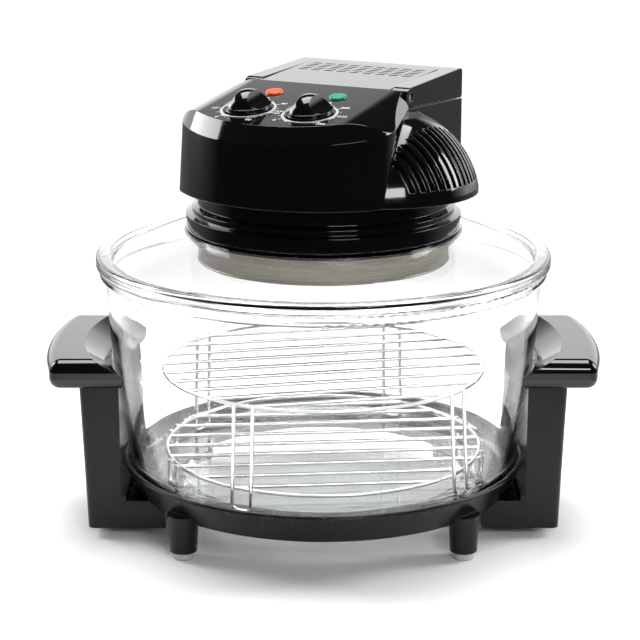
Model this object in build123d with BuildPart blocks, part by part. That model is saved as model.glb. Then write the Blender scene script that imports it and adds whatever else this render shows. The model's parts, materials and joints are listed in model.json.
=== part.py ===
from build123d import *
from math import atan2, cos, degrees, hypot, radians, sin, sqrt, tan
import os

# A halogen oven: a glass bowl in a base ring on four feet, two side handles, two wire racks, and a loose
# glass lid that carries the heater, the fan motor and the controls in one head.
# Millimetres, +Z up, origin on the floor under the middle of the bowl, -Y to the user.
# The head is modelled square to its own axes and set on the lid turned by head_turn.

# --- clearances ---------------------------------------------------------------------------------------
seat_gap = 0.05          # loose pieces that rest on flat seats
side_gap = 0.3           # between curved faces of pieces that part
fit_gap = 0.02           # fixed pins and bushes in their holes
run_gap = 0.05           # radial clearance of turning pins and shafts
swing_gap = 0.5          # round the carry handle
bar_gap = 1.2            # between the deck's rear edge and the carry handle's bar, which swings past it
end_gap = 0.3            # left free past the end of a screw, peg or spindle in its hole

# --- base ring ----------------------------------------------------------------------------------------
ring_lip_rise = 17.0
ring_inset = 8.0
ring_foot_inset = 9.5
ring_foot_drop = 1.0
ring_wall = 4.4
ring_floor_bottom = 29.0
ring_floor_thickness = 5.0
ring_ledge_width = 20.0
ring_lip_round = 1.4

foot_inset = 2.66
foot_angle = 44.433
post_radius = 10.0
post_top_radius = 11.5
foot_height = 6.0
foot_radius = 7.4
foot_peg_radius = 3.0
foot_peg_length = 7.0
foot_round = 1.0

# --- side handles -------------------------------------------------------------------------------------
column_foot = 7.5        # underside of the column and its arm
column_height = 110.5
column_reach = 21.0
column_lean = 4.0        # the outer face stands further out at the top
column_gap = 7.0
column_width = 120.0
column_round = 5.0
column_wall = 3.2
column_roof = 6.0
arm_length = 27.5
arm_step_width = 1.5

grip_height = 22.0
grip_length = 141.0
grip_overhang = 32.5
grip_end_setback = 9.5
grip_crease_gap = 17.0
grip_facet_rise = 10.0
grip_top_round = 9.0
grip_under_round = 8.0
grip_end_round = 7.0

screw_radius = 1.75
screw_head_radius = 3.4
screw_head_height = 2.2
arm_screw_inset = 10.0
arm_screw_y = 34.0
arm_screw_bite = 3.6
grip_screw_inset = 5.5
grip_screw_y = 32.0
grip_screw_bite = 9.0
screw_boss_radius = 4.6

# --- glass bowl ---------------------------------------------------------------------------------------
glass_wall = 5.0
flat_inset = 35.0
bowl_corner = 20.0
bowl_height = 166.0
bowl_neck_radius = 163.0
belly_inset = 6.0
bowl_belly_rise = 75.0
rim_bead_overhang = 4.5
rim_bead_height = 7.5
rim_bead_round = 2.4
neck_flare_height = 2.0

# --- racks --------------------------------------------------------------------------------------------
wire_radius = 1.5
leg_gap = 0.3            # between the lowest wire and the bowl's floor
high_rack_inset = 6.5
high_rack_rise = 85.0
high_rack_turn = 12.0
high_leg_angle = 51.0
low_rack_inset = 8.0
low_rack_rise = 22.0
low_rack_turn = 5.0
low_leg_angle = 20.0
leg_width = 15.0
leg_bend = 4.5
high_leg_splay = 3.5
cross_wires = 9
cross_pitch = 24.0

# --- glass lid ----------------------------------------------------------------------------------------
lid_overhang = 7.0
lid_rim_height = 8.4
lid_rim_width = 10.5
lid_rim_round = 2.5
lid_edge_fall = -0.28    # slope of the dome's surfaces at its foot
lid_tuck = 1.0           # the dome's foot stands this far inside the bowl's neck
lid_skirt_height = 4.0   # top of the dome where it meets the rim, above the seat
lid_lip_width = 17.0
lid_rise = 26.5
lid_hole_radius = 86.0
gasket_thickness = 0.8
gasket_width = 13.0

# --- heater -------------------------------------------------------------------------------------------
sheet = 0.8
pan_rim_overhang = 11.5
pan_rim_depth = 4.5
dish_inset = 24.0
dish_rise = 3.0
dish_slope_width = 6.0
shroud_overhang = 7.5
shroud_drop = 24.5
shroud_flange_width = 20.5
shroud_lip = 5.0
clamp_inset = 7.0
clamp_screws_count = 6
clamp_screw_bite = 6.0
tube_inset = 20.0
tube_radius = 4.75
tube_rise = 8.0          # above the shroud's lower edge
tube_arc = 318.0
end_cap_length = 12.0
end_cap_width = 13.0
clip_width = 8.0
guard_slots = 24
guard_slot_inner = 24.0
guard_slot_inset = 2.0
guard_slot_width = 4.0
guard_hole_radius = 14.0
bulb_inset = 4.5
bulb_radius = 2.2
bulb_arc = 36.0
bulb_angle = 90.0

# --- head, in its own axes: x to the right of the panel, -y to the user --------------------------------
head_turn = 28.65
collar_overhang = 16.5
collar_step_overhang = 12.0
collar_neck_overhang = 7.8
collar_skirt_rise = 11.5
collar_step_rise = 16.5
collar_shoulder = 2.5
collar_wall = 2.6
collar_floor = 3.0
collar_spigot_width = 13.0
collar_lip_setback = 2.6
collar_hole_radius = 8.0

collar_height = 32.0
cover_wall = 3.0
cover_overhang = 23.0    # front wall at its foot
cover_draft = 4.1
dome_inset = 36.5        # each shoulder is a round dome, turned about its own axis
dome_right_x = 48.0
dome_left_x = -38.0
dome_y = -2.5
dome_band_height = 4.0
dome_mid_inset = 12.5
dome_mid_rise = 32.5
dome_mid_lean = 42.0     # how far the dome's wall has turned over at that height
dome_top_inset = 42.5
dome_top_rise = 55.5
block_side_inset = 41.0
block_back_inset = 13.0
console_side_inset = 39.0
flank_inset = 24.0
flank_front = 52.0
flank_round = 30.0
panel_rise = 73.5         # at y = 0
panel_slope = 9.4
bevel_drop = 12.0        # between the panel and the front wall
bevel_width = 6.0
crown_flat = 57.5        # half the panel's flat width; beyond it the sides fall away
crown_round = 35.0
cut_margin = 10.0        # how far a cutting body reaches past what it cuts
deck_rise = 6.0
pillar_radius = 4.6
pillar_inset = 9.3
pillar_angle = 47.0
cover_screw_length = 16.0

rib_pitch = 6.4
rib_slots = 13
rib_slot_width = 3.4
rib_first_y = -51.5
rib_bottom_rise = 10.3
rib_arc_radius = 63.0
rib_top_rise = 49.5
rib_arc_y = -8.0
rib_inner_gap = 3.0

deck_vent_rows = 5
deck_vent_columns = 9
deck_vent_length = 8.0
deck_vent_width = 2.2
deck_vent_pitch_x = 11.0
deck_vent_pitch_y = 6.0
deck_vent_first_y = 48.0

# --- carry handle -------------------------------------------------------------------------------------
handle_arm_width = 13.0
handle_bar_depth = 13.8
handle_pivot_y = 7.6
handle_pivot_drop = 5.8
handle_end_radius = 7.1
handle_front_rise = 1.3
handle_back_rise = 5.5
handle_back_drop = 17.1
handle_pin_radius = 3.0
handle_pin_length = 17.0
handle_corner_round = 3.0

# --- controls -----------------------------------------------------------------------------------------
knob_x = 25.1
knob_inset = 42.0         # from the front wall's foot, along the panel's slope
lamp_x = 26.3
lamp_y = -27.0
knob_skirt_radius = 17.0
knob_skirt_height = 3.0
knob_height = 13.5
knob_blade = 9.0
knob_scoop_radius = 12.0
knob_scoop_height = 2.5
knob_gap = 1.0
knob_bore_depth = 9.0
knob_rim = 1.0
spindle_radius = 3.0
scale_radius = 20.5
scale_width = 2.0
scale_height = 0.5
lamp_radius = 6.5
lamp_rise = 1.8
lamp_flange = 1.6
lamp_body_length = 12.0
spindle_hole = 9.0        # depth of the spindle inside its unit
bush_radius = 5.0
bush_rise = 0.4
timer_radius = 23.5
timer_depth = 26.0
thermostat_radius = 17.0
thermostat_depth = 20.0
timer_knob_angle = 0.0
thermostat_knob_angle = 0.0

# --- motor and fans -----------------------------------------------------------------------------------
shaft_radius = 3.0
shaft_end_rise = 3.0
shaft_top_rise = 28.5
post_x = 50.0
motor_post_radius = 4.5
bracket_rise = 3.5
bracket_margin = 6.0
motor_bolt_x = 22.0
bracket_width = 24.0
bracket_sheet = 1.6
core_height = 16.0
core_half_width = 28.0
core_front = 18.0
core_back = 42.0
core_leg = 12.0
window_half_width = 16.0
rotor_radius = 12.0
rotor_gap = 0.4
coil_thickness = 7.0
coil_half_width = 13.5
bearing_radius = 6.5
bearing_height = 5.0
cooling_fan_radius = 40.0
cooling_fan_rise = 14.5
cooling_fan_height = 11.0
cooling_blades = 10
convection_fan_radius = 46.0
convection_fan_rise = 6.0
convection_fan_height = 9.0
convection_blades = 8
fan_hub_radius = 7.0
blade_thickness = 1.2
blade_set_back = 1.0
fan_nut_width = 9.0
fan_nut_height = 2.6

# --- small electrical pieces --------------------------------------------------------------------------
plunger_inset = 7.0
plunger_y = 30.0
plunger_radius = 2.0
switch_length = 20.0
switch_width = 7.0
switch_height = 11.0
gland_rise = 43.5
gland_radius = 6.0
gland_flange_radius = 9.0
gland_flange = 2.5
gland_nose = 9.0
gland_bore = 3.6
terminal_length = 30.0
terminal_depth = 12.0
terminal_height = 16.0
terminal_x = 34.0
cutout_radius = 8.0
cutout_height = 9.0
cutout_inset = 24.0

# --- places worked out from the sizes above -----------------------------------------------------------
ring_seat = ring_floor_bottom + ring_floor_thickness
ring_top = ring_seat + ring_lip_rise
ring_foot_height = ring_seat - ring_foot_drop
column_top = column_foot + column_height
arm_top = ring_foot_height
grip_facet_height = column_top + grip_facet_rise
bowl_rim_height = ring_seat + bowl_height
bowl_neck_height = bowl_rim_height - rim_bead_height - neck_flare_height
bowl_belly_height = ring_seat + bowl_belly_rise
high_rack_height = ring_seat + high_rack_rise
low_rack_height = ring_seat + low_rack_rise
lid_lip_top = bowl_rim_height + lid_rise
shroud_bottom = lid_lip_top - shroud_drop
tube_height = shroud_bottom + tube_rise
collar_skirt_top = lid_lip_top + collar_skirt_rise
collar_step_top = lid_lip_top + collar_step_rise
cover_base = lid_lip_top + collar_height
dome_band_top = cover_base + dome_band_height
dome_mid_height = cover_base + dome_mid_rise
dome_top_height = cover_base + dome_top_rise
panel_height = cover_base + panel_rise
deck_back_height = panel_height + deck_rise
rib_bottom = cover_base + rib_bottom_rise
rib_arc_top = cover_base + rib_top_rise
handle_pivot_z = panel_height - handle_pivot_drop
handle_front_top = panel_height + handle_front_rise
handle_back_top = panel_height + handle_back_rise
handle_back_bottom = panel_height - handle_back_drop
shaft_bottom = shroud_bottom + shaft_end_rise
shaft_top = cover_base + shaft_top_rise
bracket_height = cover_base + bracket_rise
cooling_fan_bottom = lid_lip_top + cooling_fan_rise
convection_fan_bottom = shroud_bottom + convection_fan_rise
gland_height = cover_base + gland_rise
bowl_belly_radius = bowl_neck_radius - belly_inset
bowl_flat_radius = bowl_neck_radius - flat_inset
rim_bead_radius = bowl_neck_radius + rim_bead_overhang
lid_radius = bowl_neck_radius + lid_overhang
high_rack_radius = bowl_flat_radius - high_rack_inset
low_rack_radius = bowl_flat_radius - low_rack_inset
ring_bore = bowl_flat_radius - ring_ledge_width
ring_radius = bowl_neck_radius - ring_inset
ring_foot_radius = ring_radius - ring_foot_inset
foot_x = (ring_foot_radius - foot_inset) * cos(radians(foot_angle))
foot_y = (ring_foot_radius - foot_inset) * sin(radians(foot_angle))
column_inner_radius = ring_radius + column_gap
column_outer = ring_radius + column_reach
arm_step = ring_foot_radius + arm_step_width
arm_reach = ring_foot_radius - arm_length
arm_screw_x = arm_reach + arm_screw_inset
grip_reach = column_outer + grip_overhang
grip_end_reach = grip_reach - grip_end_setback
grip_crease_radius = bowl_neck_radius + grip_crease_gap
grip_screw_x = column_outer - grip_screw_inset
lid_lip_radius = lid_hole_radius + lid_lip_width
pan_rim_radius = lid_hole_radius + pan_rim_overhang
dish_radius = lid_hole_radius - dish_inset
shroud_radius = lid_hole_radius + shroud_overhang
shroud_flange_bore = shroud_radius - shroud_flange_width
clamp_circle_radius = lid_hole_radius - clamp_inset
tube_ring_radius = lid_hole_radius - tube_inset
guard_slot_outer = lid_hole_radius - guard_slot_inset
bulb_ring_radius = lid_hole_radius - bulb_inset
collar_bottom_radius = lid_hole_radius + collar_overhang
collar_step_radius = lid_hole_radius + collar_step_overhang
collar_neck_radius = lid_hole_radius + collar_neck_overhang
cover_radius = lid_hole_radius + cover_overhang
dome_radius = cover_radius - dome_inset
dome_mid_radius = dome_radius - dome_mid_inset
dome_top_radius = dome_radius - dome_top_inset
block_half_width = cover_radius - block_side_inset
block_back = cover_radius - block_back_inset
console_half_width = cover_radius - console_side_inset
flank_reach = cover_radius - flank_inset
pillar_circle_radius = collar_neck_radius - pillar_inset
rib_inner = block_half_width + rib_inner_gap
knob_y = knob_inset - cover_radius
plunger_x = block_half_width - plunger_inset
cutout_circle_radius = lid_hole_radius - cutout_inset
bowl_bottom = ring_seat + seat_gap
bowl_floor = bowl_bottom + glass_wall
lid_seat = bowl_rim_height + seat_gap
lip_bottom = lid_lip_top - glass_wall
collar_bottom = lid_lip_top + gasket_thickness
pan_top = lip_bottom - gasket_thickness
dish_top = pan_top + dish_rise
guard_top = shroud_bottom + 2 * sheet
collar_floor_top = collar_bottom + collar_floor
cover_floor_top = cover_base + cover_wall
spigot_radius = lid_hole_radius - side_gap
panel = Plane(origin=(0, 0, panel_height), x_dir=(1, 0, 0), z_dir=(0, -sin(radians(panel_slope)),
                                                                   cos(radians(panel_slope))))
grip_bottom = column_top
grip_top = column_top + grip_height
handle_front_bottom = 2 * handle_pivot_z - handle_front_top
deck_half_width = block_half_width - handle_arm_width - swing_gap
deck_back = block_back - handle_bar_depth - bar_gap


def polar(radius, angle):
    return (radius * cos(radians(angle)), radius * sin(radians(angle)))


def ring_section(inner, outer, bottom, top):
    """A rectangle in the section plane, for a ring turned about the axis."""
    return [(inner, bottom), (outer, bottom), (outer, top), (inner, top)]


# --- base ---------------------------------------------------------------------------------------------
post_places = [(x, y) for x in (-foot_x, foot_x) for y in (-foot_y, foot_y)]
arm_screw_places = [(x, y) for x in (-arm_screw_x, arm_screw_x) for y in (-arm_screw_y, arm_screw_y)]
grip_screw_places = [(x, y) for x in (-grip_screw_x, grip_screw_x) for y in (-grip_screw_y, grip_screw_y)]

with BuildPart() as base_ring:
    with BuildSketch(Plane.XZ) as section:
        Polygon(
            (ring_bore, ring_floor_bottom),
            (ring_foot_radius - 2, ring_floor_bottom),
            (ring_foot_radius, ring_foot_height),
            (ring_radius, ring_top),
            (ring_radius - ring_wall, ring_top),
            (ring_foot_radius - ring_wall, ring_seat),
            (ring_bore, ring_seat),
            align=None,
        )
        fillet(section.vertices().group_by(Axis.Y)[-1], ring_lip_round)
    revolve(axis=Axis.Z)
    with BuildSketch(Plane.XY.offset(foot_height)):
        with Locations(*post_places):
            Circle(post_radius)
    extrude(amount=ring_seat - foot_height, taper=-degrees(atan2(post_top_radius - post_radius,
                                                                 ring_seat - foot_height)))
    with Locations(*[(x, y, foot_height) for x, y in post_places]):
        Cylinder(foot_peg_radius + fit_gap, foot_peg_length, align=(Align.CENTER, Align.CENTER, Align.MIN),
                 mode=Mode.SUBTRACT)
    with Locations(*[(x, y, ring_floor_bottom) for x, y in arm_screw_places]):
        Cylinder(screw_radius + fit_gap, arm_screw_bite, align=(Align.CENTER, Align.CENTER, Align.MIN),
                 mode=Mode.SUBTRACT)

with BuildPart() as rubber_foot:
    Cylinder(foot_radius, foot_height, align=(Align.CENTER, Align.CENTER, Align.MIN))
    fillet(rubber_foot.edges().group_by(Axis.Z)[0], foot_round)
    with Locations((0, 0, foot_height)):
        Cylinder(foot_peg_radius, foot_peg_length - end_gap, align=(Align.CENTER, Align.CENTER, Align.MIN))


def column_form(inset, roof):
    """The right handle's column and arm, drawn in by inset, with its top lowered by roof."""
    lean = column_lean / (column_top - column_foot)
    top = column_top - roof
    with BuildPart() as form:
        with BuildSketch(Plane.XZ.offset(column_width / 2 - inset)):
            Polygon(
                (arm_reach + inset, column_foot),
                (column_outer - inset, column_foot),
                (column_outer - inset + lean * (top - column_foot), top),
                (arm_step - inset, top),
                (arm_step - inset, arm_top - inset),
                (arm_step + inset, ring_floor_bottom - inset),
                (arm_reach + inset, ring_floor_bottom - inset),
                align=None,
            )
        extrude(amount=-(column_width - 2 * inset))
        with Locations((0, 0, arm_top - inset)):
            Cylinder(column_inner_radius + inset, column_top, mode=Mode.SUBTRACT,
                     align=(Align.CENTER, Align.CENTER, Align.MIN))
        corners = form.edges().filter_by(Axis.Y, reverse=True).group_by(Axis.X)[-1]
        fillet(corners.filter_by(lambda e: e.length > column_top / 2), column_round - min(inset, 3))
    return form.part


with BuildPart() as handle_column_right:
    add(column_form(0, 0))
    add(column_form(column_wall, column_roof), mode=Mode.SUBTRACT)
    with BuildSketch(Plane.XY.offset(column_foot)):
        with Locations(*arm_screw_places[2:]):
            Circle(screw_boss_radius)
    extrude(amount=ring_floor_bottom - column_foot)
    with BuildSketch(Plane.XY.offset(column_foot)):
        with Locations(*arm_screw_places[2:]):
            Circle(screw_radius + fit_gap)
    extrude(amount=ring_floor_bottom - column_foot, mode=Mode.SUBTRACT)
    with BuildSketch(Plane.XY.offset(column_foot)):
        with Locations(*arm_screw_places[2:]):
            Circle(screw_head_radius + fit_gap)
    extrude(amount=screw_head_height, mode=Mode.SUBTRACT)
    with BuildSketch(Plane.XY.offset(column_top - column_roof)):
        with Locations(*grip_screw_places[2:]):
            Circle(screw_radius + fit_gap)
    extrude(amount=column_roof, mode=Mode.SUBTRACT)

with BuildPart() as handle_grip_right:
    with BuildSketch(Plane.XY.offset(grip_bottom)) as plan:
        with BuildLine():
            outer = ThreePointArc((grip_end_reach, -grip_length / 2), (grip_reach, 0),
                                  (grip_end_reach, grip_length / 2))
            Polyline(outer @ 1, (0, grip_length / 2), (0, -grip_length / 2), outer @ 0)
        make_face()
        Circle(column_inner_radius, mode=Mode.SUBTRACT)
    extrude(amount=grip_height)
    tips = handle_grip_right.edges().filter_by(Axis.Z).sort_by(Axis.X)[-2:]
    fillet(tips, grip_end_round)
    with BuildSketch(Plane.XZ):
        Polygon((column_inner_radius, grip_facet_height), (grip_crease_radius, grip_top),
                (grip_crease_radius, grip_top + grip_height), (0, grip_top + grip_height),
                (0, grip_facet_height), align=None)
    revolve(axis=Axis.Z, mode=Mode.SUBTRACT)
    rim = handle_grip_right.faces().filter_by(Plane.XY).sort_by(Axis.Z)[-1].edges()
    fillet(rim.filter_by(lambda e: (e @ 0.5).X > grip_crease_radius and hypot((e @ 0.5).X, (e @ 0.5).Y) >
                         grip_crease_radius + 2), grip_top_round)
    under = handle_grip_right.faces().filter_by(Plane.XY).sort_by(Axis.Z)[0].edges()
    fillet(under.filter_by(lambda e: hypot((e @ 0.5).X, (e @ 0.5).Y) > grip_crease_radius), grip_under_round)
    with BuildSketch(Plane.XY.offset(grip_bottom)):
        with Locations(*grip_screw_places[2:]):
            Circle(screw_radius + fit_gap)
    extrude(amount=grip_screw_bite, mode=Mode.SUBTRACT)

with BuildPart() as arm_screws:
    with Locations(*[(x, y, column_foot + screw_head_height) for x, y in arm_screw_places]):
        Cylinder(screw_radius, ring_floor_bottom + arm_screw_bite - end_gap - column_foot - screw_head_height,
                 align=(Align.CENTER, Align.CENTER, Align.MIN))
        Cylinder(screw_head_radius, screw_head_height, align=(Align.CENTER, Align.CENTER, Align.MAX))

with BuildPart() as grip_screws:
    with Locations(*[(x, y, column_top - column_roof) for x, y in grip_screw_places]):
        Cylinder(screw_radius, column_roof + grip_screw_bite - end_gap,
                 align=(Align.CENTER, Align.CENTER, Align.MIN))
        Cylinder(screw_head_radius, screw_head_height, align=(Align.CENTER, Align.CENTER, Align.MAX))

# --- bowl ---------------------------------------------------------------------------------------------
with BuildPart() as glass_bowl:
    with BuildSketch(Plane.XZ) as section:
        with BuildLine() as outline:
            outer_foot = Line((0, bowl_bottom), (bowl_flat_radius, bowl_bottom))
            outer_corner = RadiusArc(outer_foot @ 1, (bowl_flat_radius + bowl_corner,
                                                      bowl_bottom + bowl_corner), -bowl_corner)
            outer_wall = ThreePointArc(outer_corner @ 1, (bowl_belly_radius, bowl_belly_height),
                                       (bowl_neck_radius, bowl_neck_height))
            neck = Line(outer_wall @ 1, (rim_bead_radius, bowl_rim_height - rim_bead_height))
            rim_out = Line(neck @ 1, (rim_bead_radius, bowl_rim_height))
            rim_top = Line(rim_out @ 1, (bowl_neck_radius - glass_wall, bowl_rim_height))
            neck_in = Line(rim_top @ 1, (bowl_neck_radius - glass_wall, bowl_neck_height))
            inner_wall = ThreePointArc(neck_in @ 1, (bowl_belly_radius - glass_wall, bowl_belly_height),
                                       (bowl_flat_radius + bowl_corner - glass_wall,
                                        bowl_bottom + bowl_corner))
            inner_corner = RadiusArc(inner_wall @ 1, (bowl_flat_radius, bowl_floor), bowl_corner - glass_wall)
            Line(inner_corner @ 1, (0, bowl_floor))
            Line((0, bowl_floor), (0, bowl_bottom))
        make_face()
        bead = section.vertices().filter_by_position(Axis.Y, bowl_rim_height - rim_bead_height - 0.1,
                                                     bowl_rim_height + 0.1)
        fillet(bead.filter_by_position(Axis.X, rim_bead_radius - 0.1, rim_bead_radius + 0.1), rim_bead_round)
    revolve(axis=Axis.Z)


# --- racks --------------------------------------------------------------------------------------------
def rack(radius, height, splay, leg_angle):
    """A ring of wire with straight wires across it, and four U legs that stand against its outer side."""
    foot = bowl_floor + leg_gap + wire_radius
    half = leg_width / 2
    stand = sqrt((radius + 2 * wire_radius + fit_gap) ** 2 - half ** 2)
    with BuildPart() as wires:
        with BuildSketch(Plane.XZ):
            with Locations((radius, height)):
                Circle(wire_radius)
        revolve(axis=Axis.Z)
        for index in range(cross_wires):
            y = (index - (cross_wires - 1) / 2) * cross_pitch
            reach = sqrt(radius ** 2 - y ** 2)
            with BuildSketch(Plane.YZ.offset(-reach)):
                with Locations((y, height)):
                    Circle(wire_radius)
            extrude(amount=2 * reach)
        for angle in (leg_angle, 180 - leg_angle, 180 + leg_angle, -leg_angle):
            out = Vector(cos(radians(angle)), sin(radians(angle)), 0)
            along = Vector(-out.Y, out.X, 0)
            top = out * stand + Vector(0, 0, height + wire_radius)
            low = out * (stand + splay) + Vector(0, 0, foot)
            with BuildLine():
                bent = FilletPolyline(top + along * half, low + along * half, low - along * half,
                                      top - along * half, radius=leg_bend)
            with BuildSketch(Plane(bent @ 0, z_dir=bent % 0)):
                Circle(wire_radius)
            sweep(path=bent)
    return wires.part


with BuildPart() as high_rack:
    add(rack(high_rack_radius, high_rack_height, high_leg_splay, high_leg_angle),
        rotation=(0, 0, high_rack_turn))

with BuildPart() as low_rack:
    add(rack(low_rack_radius, low_rack_height, 0, low_leg_angle), rotation=(0, 0, low_rack_turn))

# --- lid and gaskets ----------------------------------------------------------------------------------
with BuildPart() as glass_lid:
    with BuildSketch(Plane.XZ) as section:
        rim_inner = lid_radius - lid_rim_width
        tuck_radius = bowl_neck_radius - glass_wall - lid_tuck
        with BuildLine():
            Line((tuck_radius, lid_seat), (lid_radius, lid_seat))
            Line((lid_radius, lid_seat), (lid_radius, lid_seat + lid_rim_height))
            Line((lid_radius, lid_seat + lid_rim_height), (rim_inner, lid_seat + lid_rim_height))
            Line((rim_inner, lid_seat + lid_rim_height), (rim_inner, lid_seat + lid_skirt_height))
            dome = TangentArc((lid_lip_radius, lid_lip_top), (rim_inner, lid_seat + lid_skirt_height),
                              tangent=(1, lid_edge_fall))
            Line((lid_lip_radius, lid_lip_top), (lid_hole_radius, lid_lip_top))
            Line((lid_hole_radius, lid_lip_top), (lid_hole_radius, lip_bottom))
            Line((lid_hole_radius, lip_bottom), (lid_lip_radius, lip_bottom))
            under = TangentArc((lid_lip_radius, lip_bottom), (tuck_radius, lid_seat),
                               tangent=(1, lid_edge_fall))
        make_face()
        brim = section.vertices().filter_by_position(Axis.X, lid_radius - 0.1, lid_radius + 0.1)
        fillet(brim, lid_rim_round)
    revolve(axis=Axis.Z)

with BuildPart() as upper_gasket:
    with BuildSketch(Plane.XZ):
        Polygon(*ring_section(lid_hole_radius, lid_hole_radius + gasket_width, lid_lip_top, collar_bottom),
                align=None)
    revolve(axis=Axis.Z)

with BuildPart() as lower_gasket:
    with BuildSketch(Plane.XZ):
        Polygon(*ring_section(spigot_radius, pan_rim_radius - sheet - 1, pan_top, lip_bottom), align=None)
    revolve(axis=Axis.Z)

# --- heater -------------------------------------------------------------------------------------------
clamp_places = [polar(clamp_circle_radius, 360 * n / clamp_screws_count)
                for n in range(clamp_screws_count)]
pan_flat_bottom = pan_top - sheet
dish_foot_radius = dish_radius + dish_slope_width

with BuildPart() as reflector_pan:
    with BuildSketch(Plane.XZ):
        Polygon(
            (collar_hole_radius, dish_top),
            (dish_radius, dish_top),
            (dish_foot_radius, pan_top),
            (pan_rim_radius, pan_top),
            (pan_rim_radius, pan_top - pan_rim_depth),
            (pan_rim_radius - sheet, pan_top - pan_rim_depth),
            (pan_rim_radius - sheet, pan_flat_bottom),
            (dish_foot_radius - side_gap, pan_flat_bottom),
            (dish_radius - side_gap, dish_top - sheet),
            (collar_hole_radius, dish_top - sheet),
            align=None,
        )
    revolve(axis=Axis.Z)
    with BuildSketch(Plane.XY.offset(pan_flat_bottom)):
        with Locations(*clamp_places):
            Circle(screw_radius + fit_gap)
    extrude(amount=sheet, mode=Mode.SUBTRACT)

with BuildPart() as heater_shroud:
    with BuildSketch(Plane.XZ):
        Polygon(
            (shroud_flange_bore, pan_flat_bottom),
            (shroud_radius, pan_flat_bottom),
            (shroud_radius, shroud_bottom),
            (shroud_radius - shroud_lip, shroud_bottom),
            (shroud_radius - shroud_lip, shroud_bottom + sheet),
            (shroud_radius - sheet, shroud_bottom + sheet),
            (shroud_radius - sheet, pan_flat_bottom - sheet),
            (shroud_flange_bore, pan_flat_bottom - sheet),
            align=None,
        )
    revolve(axis=Axis.Z)
    with BuildSketch(Plane.XY.offset(pan_flat_bottom - sheet)):
        with Locations(*clamp_places):
            Circle(screw_radius + fit_gap)
    extrude(amount=sheet, mode=Mode.SUBTRACT)

with BuildPart() as element_guard:
    with BuildSketch(Plane.XY.offset(shroud_bottom + sheet)):
        Circle(shroud_radius - sheet - 0.1)
        Circle(guard_hole_radius, mode=Mode.SUBTRACT)
        slot_length = guard_slot_outer - guard_slot_inner
        with PolarLocations((guard_slot_inner + guard_slot_outer) / 2, guard_slots):
            Rectangle(slot_length, guard_slot_width, mode=Mode.SUBTRACT)
    extrude(amount=sheet)

with BuildPart() as heat_shield:
    with BuildSketch(Plane.XY.offset(dish_top)):
        Circle(dish_radius - 1)
        Circle(collar_hole_radius, mode=Mode.SUBTRACT)
    extrude(amount=collar_bottom - dish_top)

tube_start = -90 + (360 - tube_arc) / 2
with BuildPart() as halogen_tube:
    with BuildSketch(Plane.XZ):
        with Locations((tube_ring_radius, tube_height)):
            Circle(tube_radius)
    revolve(axis=Axis.Z, revolution_arc=tube_arc)
halogen_tube.part = halogen_tube.part.rotate(Axis.Z, tube_start)

cap_angles = (tube_start, tube_start + tube_arc)
with BuildPart() as tube_end_caps:
    for angle, side in zip(cap_angles, (-1, 1)):
        middle = angle + side * degrees(end_cap_length / 2 / tube_ring_radius) * 0.4
        with Locations(Location((*polar(tube_ring_radius, middle), guard_top + 1), (0, 0, angle))):
            Box(end_cap_width, end_cap_length, pan_flat_bottom - guard_top - 1,
                align=(Align.CENTER, Align.CENTER, Align.MIN))
    add(halogen_tube.part, mode=Mode.SUBTRACT)

with BuildPart() as tube_clips:
    with PolarLocations(tube_ring_radius, 3, start_angle=0):
        with Locations((0, 0, tube_height)):
            Cylinder(tube_radius + sheet, clip_width, rotation=(90, 0, 0))
    for n in range(3):
        with Locations(Location((*polar(tube_ring_radius, 120 * n), tube_height), (0, 0, 120 * n))):
            Box(2 * tube_radius, clip_width, pan_flat_bottom - tube_height,
                align=(Align.CENTER, Align.CENTER, Align.MIN))
    with BuildSketch(Plane.XZ):
        with Locations((tube_ring_radius, tube_height)):
            Circle(tube_radius)
    revolve(axis=Axis.Z, mode=Mode.SUBTRACT)
    for n in range(3):
        with Locations(Location((*polar(tube_ring_radius, 120 * n), tube_height - tube_radius),
                                (0, 0, 120 * n))):
            Box(2 * tube_radius + 3, clip_width + 3, tube_radius, mode=Mode.SUBTRACT)
        with Locations(Location((*polar(tube_ring_radius, 120 * n), tube_height), (0, 0, 120 * n))):
            Box(2 * tube_radius - 2 * sheet, clip_width + 3, pan_flat_bottom - tube_height - sheet,
                align=(Align.CENTER, Align.CENTER, Align.MIN), mode=Mode.SUBTRACT)

with BuildPart() as thermostat_bulb:
    with BuildSketch(Plane.XZ):
        with Locations((bulb_ring_radius, pan_flat_bottom - sheet - bulb_radius)):
            Circle(bulb_radius)
    revolve(axis=Axis.Z, revolution_arc=bulb_arc)
thermostat_bulb.part = thermostat_bulb.part.rotate(Axis.Z, bulb_angle - bulb_arc / 2)

with BuildPart() as clamp_screws:
    with Locations(*[(x, y, pan_flat_bottom - sheet) for x, y in clamp_places]):
        Cylinder(screw_radius, 2 * sheet + clamp_screw_bite, align=(Align.CENTER, Align.CENTER, Align.MIN))
        Cylinder(screw_head_radius, screw_head_height, align=(Align.CENTER, Align.CENTER, Align.MAX))

# --- head collar --------------------------------------------------------------------------------------
pillar_places = [polar(pillar_circle_radius, angle)
                 for angle in (pillar_angle, 180 - pillar_angle, 180 + pillar_angle, -pillar_angle)]
motor_posts = [(-post_x, 0), (post_x, 0)]

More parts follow.
